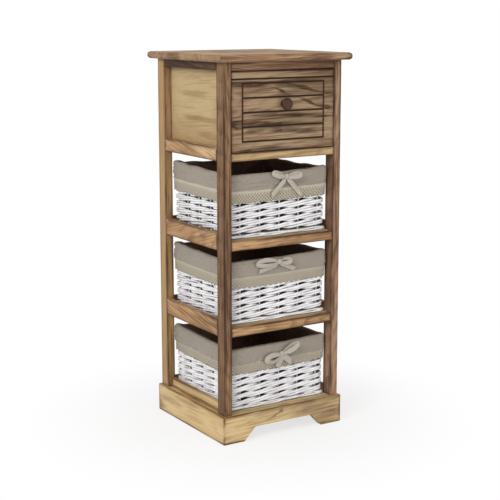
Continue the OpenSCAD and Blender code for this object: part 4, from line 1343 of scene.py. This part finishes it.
@dataclass(frozen=True)
class Basket:
    """One lined willow basket.

    Attributes:
        number: 1 is the top one.
        nodes: The CAD nodes by name.
        finishes: Materials by the names willow, taupe, ribbon, dark (the lining in painted shade) and cream.
    """

    number: int
    nodes: dict[str, Piece]
    finishes: dict[str, Material]

    def build(self) -> None:
        """Weaves it, lines it and ties the bow, then says what each piece rides on and replaces."""
        body = f"basket_{self.number}"
        floor, first, thick, lace = metres(ROWS[self.number])
        line = StakeLine(floor)
        cloth = Cloth(line, 140 + self.number, lace)
        bow = Bow(line, *KNOTS[self.number])
        woven = Wicker(line, 40 + self.number, first, thick).build(f"{body}_wicker")
        cover, band = cloth.cover(f"{body}_cover"), cloth.band(f"{body}_lace")
        inside = cloth.inside(f"{body}_lining")
        ribbon, knot = bow.ribbon(f"{body}_ribbon"), bow.ball(f"{body}_knot")
        paint(self.nodes[f"{body}_frame"], self.finishes["willow"])
        for piece, finish, slot in (
                (woven, "willow", "willow"), (cover, "taupe", "cloth"), (band, "cream", "cloth"),
                (inside, "dark", "cloth"), (ribbon, "ribbon", "ribbon"), (knot, "ribbon", "ribbon")):
            paint(piece, self.finishes[finish])
            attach(piece, body)
            LOG.info("%s: %d quads", piece.name, len(piece.data.polygons))
        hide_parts(f"{body}_weave")
        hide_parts(f"{body}_liner")
        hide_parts(f"{body}_bow")


# ------------------------------------------------------------------ studio


def seen_rays(g: Graph) -> Socket:
    """Is 1 where the camera sees a thing, also by gloss or through glass, and 0 for light on the object."""
    rays = g.add("ShaderNodeLightPath").node.outputs
    return g.add(MOST, g.add(MOST, rays["Is Camera Ray"], rays["Is Glossy Ray"]), rays["Is Transmission Ray"])


@dataclass(frozen=True)
class Studio:
    """Camera, pale floor, white surroundings and soft lamps.

    Attributes:
        focal: Focal length in pixels, from the corners of top and base.
        frame: Width of the picture in pixels.
        sensor: Width of the sensor in mm.
        eye: Place of the camera.
        down: Degrees that it looks down.
        aside: Degrees that it looks to the right of the cabinet's front.
        ambient: Strength of the light from all round.
        half: Half the width of the floor.
        low: Height of the floor.
        lamps: For each soft square lamp its name, place, length of a side and watts.
        aim: Where the lamps look.
    """

    focal: float = 1203.0
    frame: float = 500.0
    sensor: float = 36.0
    eye: Triple = (-1.537, -2.443, 0.988)
    down: float = 11.11
    aside: float = 32.26
    ambient: float = 0.62
    half: float = 14.0
    low: float = -0.5 * MM
    lamps: tuple[tuple[str, Triple, float, float], ...] = (
        ("key", (-2.7, -1.5, 2.1), 1.4, 62), ("fill", (0.9, -3.0, 0.55), 1.6, 20))
    aim: Triple = (0.0, 0.0, 0.45)

    def camera(self) -> None:
        """Sets up the photograph's viewing angle."""
        data = bpy.data.cameras.new("camera")
        data.sensor_width, data.lens = self.sensor, self.focal / self.frame * self.sensor
        data.clip_start, data.clip_end = 0.05, 60.0
        camera = bpy.data.objects.new("camera", data)
        camera.location = self.eye
        camera.rotation_euler = (math.radians(90.0 - self.down), 0.0, math.radians(-self.aside))
        bpy.context.scene.collection.objects.link(camera)
        bpy.context.scene.camera = camera

    def lights(self) -> None:
        """Adds the lamps, which face the middle of the cabinet."""
        for name, place, size, power in self.lamps:
            data = bpy.data.lights.new(name, "AREA")
            data.size, data.energy = size, power
            light = bpy.data.objects.new(name, data)
            light.location = place
            light.rotation_euler = (Vector(self.aim) - Vector(place)).to_track_quat("-Z", "Y").to_euler()
            bpy.context.scene.collection.objects.link(light)

    def floor(self) -> None:
        """Lays a white floor that keeps the shadow near the cabinet and fades into the background."""
        corners = [(x * self.half, y * self.half, self.low) for x, y in ((-1, -1), (1, -1), (1, 1), (-1, 1))]
        floor = Surface(np.array(corners), np.array([[0, 1, 2, 3]])).piece("floor")
        material = bpy.data.materials.new("matt white paper")
        g = fresh_graph(material)
        add = g.add
        flat = add(V_TIMES, add("ShaderNodeTexCoord", out="Object"), (1.0, 1.0, 0.0))
        far = add(FADE, add(V_LENGTH, flat, out=1), 0.2, 0.62, 0.72)
        paper = add("ShaderNodeBsdfDiffuse", "f4f4f4")
        white = add("ShaderNodeEmission", "ffffff", 1.0)
        faded = add("ShaderNodeMixShader", add(TIMES, far, seen_rays(g)), paper, white)
        add("ShaderNodeOutputMaterial", faded)
        paint(floor, material)

    def surroundings(self) -> None:
        """Lights evenly from all round, and shows white behind the cabinet."""
        world = bpy.data.worlds.new("studio")
        bpy.context.scene.world = world
        g = fresh_graph(world)
        soft, white = (g.add("ShaderNodeBackground", "ffffff", strength) for strength in (self.ambient, 1.0))
        g.add("ShaderNodeOutputWorld", g.add("ShaderNodeMixShader", seen_rays(g), soft, white))

    def build(self) -> None:
        """Builds the studio."""
        self.camera()
        self.floor()
        self.surroundings()
        self.lights()
        bpy.context.scene.view_settings.view_transform = "Standard"
        LOG.info("studio: camera, floor and lamps")


def main() -> None:
    """Builds the whole scene."""
    logging.basicConfig(level=logging.INFO, format="%(name)s: %(message)s")
    for obj in list(bpy.data.objects):
        bpy.data.objects.remove(obj, do_unlink=True)
    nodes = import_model()["nodes"]
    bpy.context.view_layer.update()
    Studio().build()
    Woodwork(nodes).dress()
    finishes = {
        "willow": PaintedWillow("white painted willow", 0.5, relief=(0.35, 0.8 * MM)).material(),
        "taupe": WovenCotton("taupe cotton", 0.9).material(),
        "ribbon": WovenCotton("taupe cotton ribbon", 0.85, light="bcb2a6", dark="a0968c").material(),
        # Painted shade: the inside lining is the taupe cloth made dark brown, for the shade inside the
        # baskets.
        "dark": WovenCotton("lining cotton darkened for painted shade", 0.95, sheen=0.03, light="6a4e42", dark="46332b").material(),
        "cream": CottonLace("cream cotton lace", 0.9, sheen=0.1, relief=(0.7, 1.2 * MM),
                            source="UV").material(),
    }
    for number in ROWS:
        Basket(number, nodes, finishes).build()


if __name__ == "__main__":
    main()
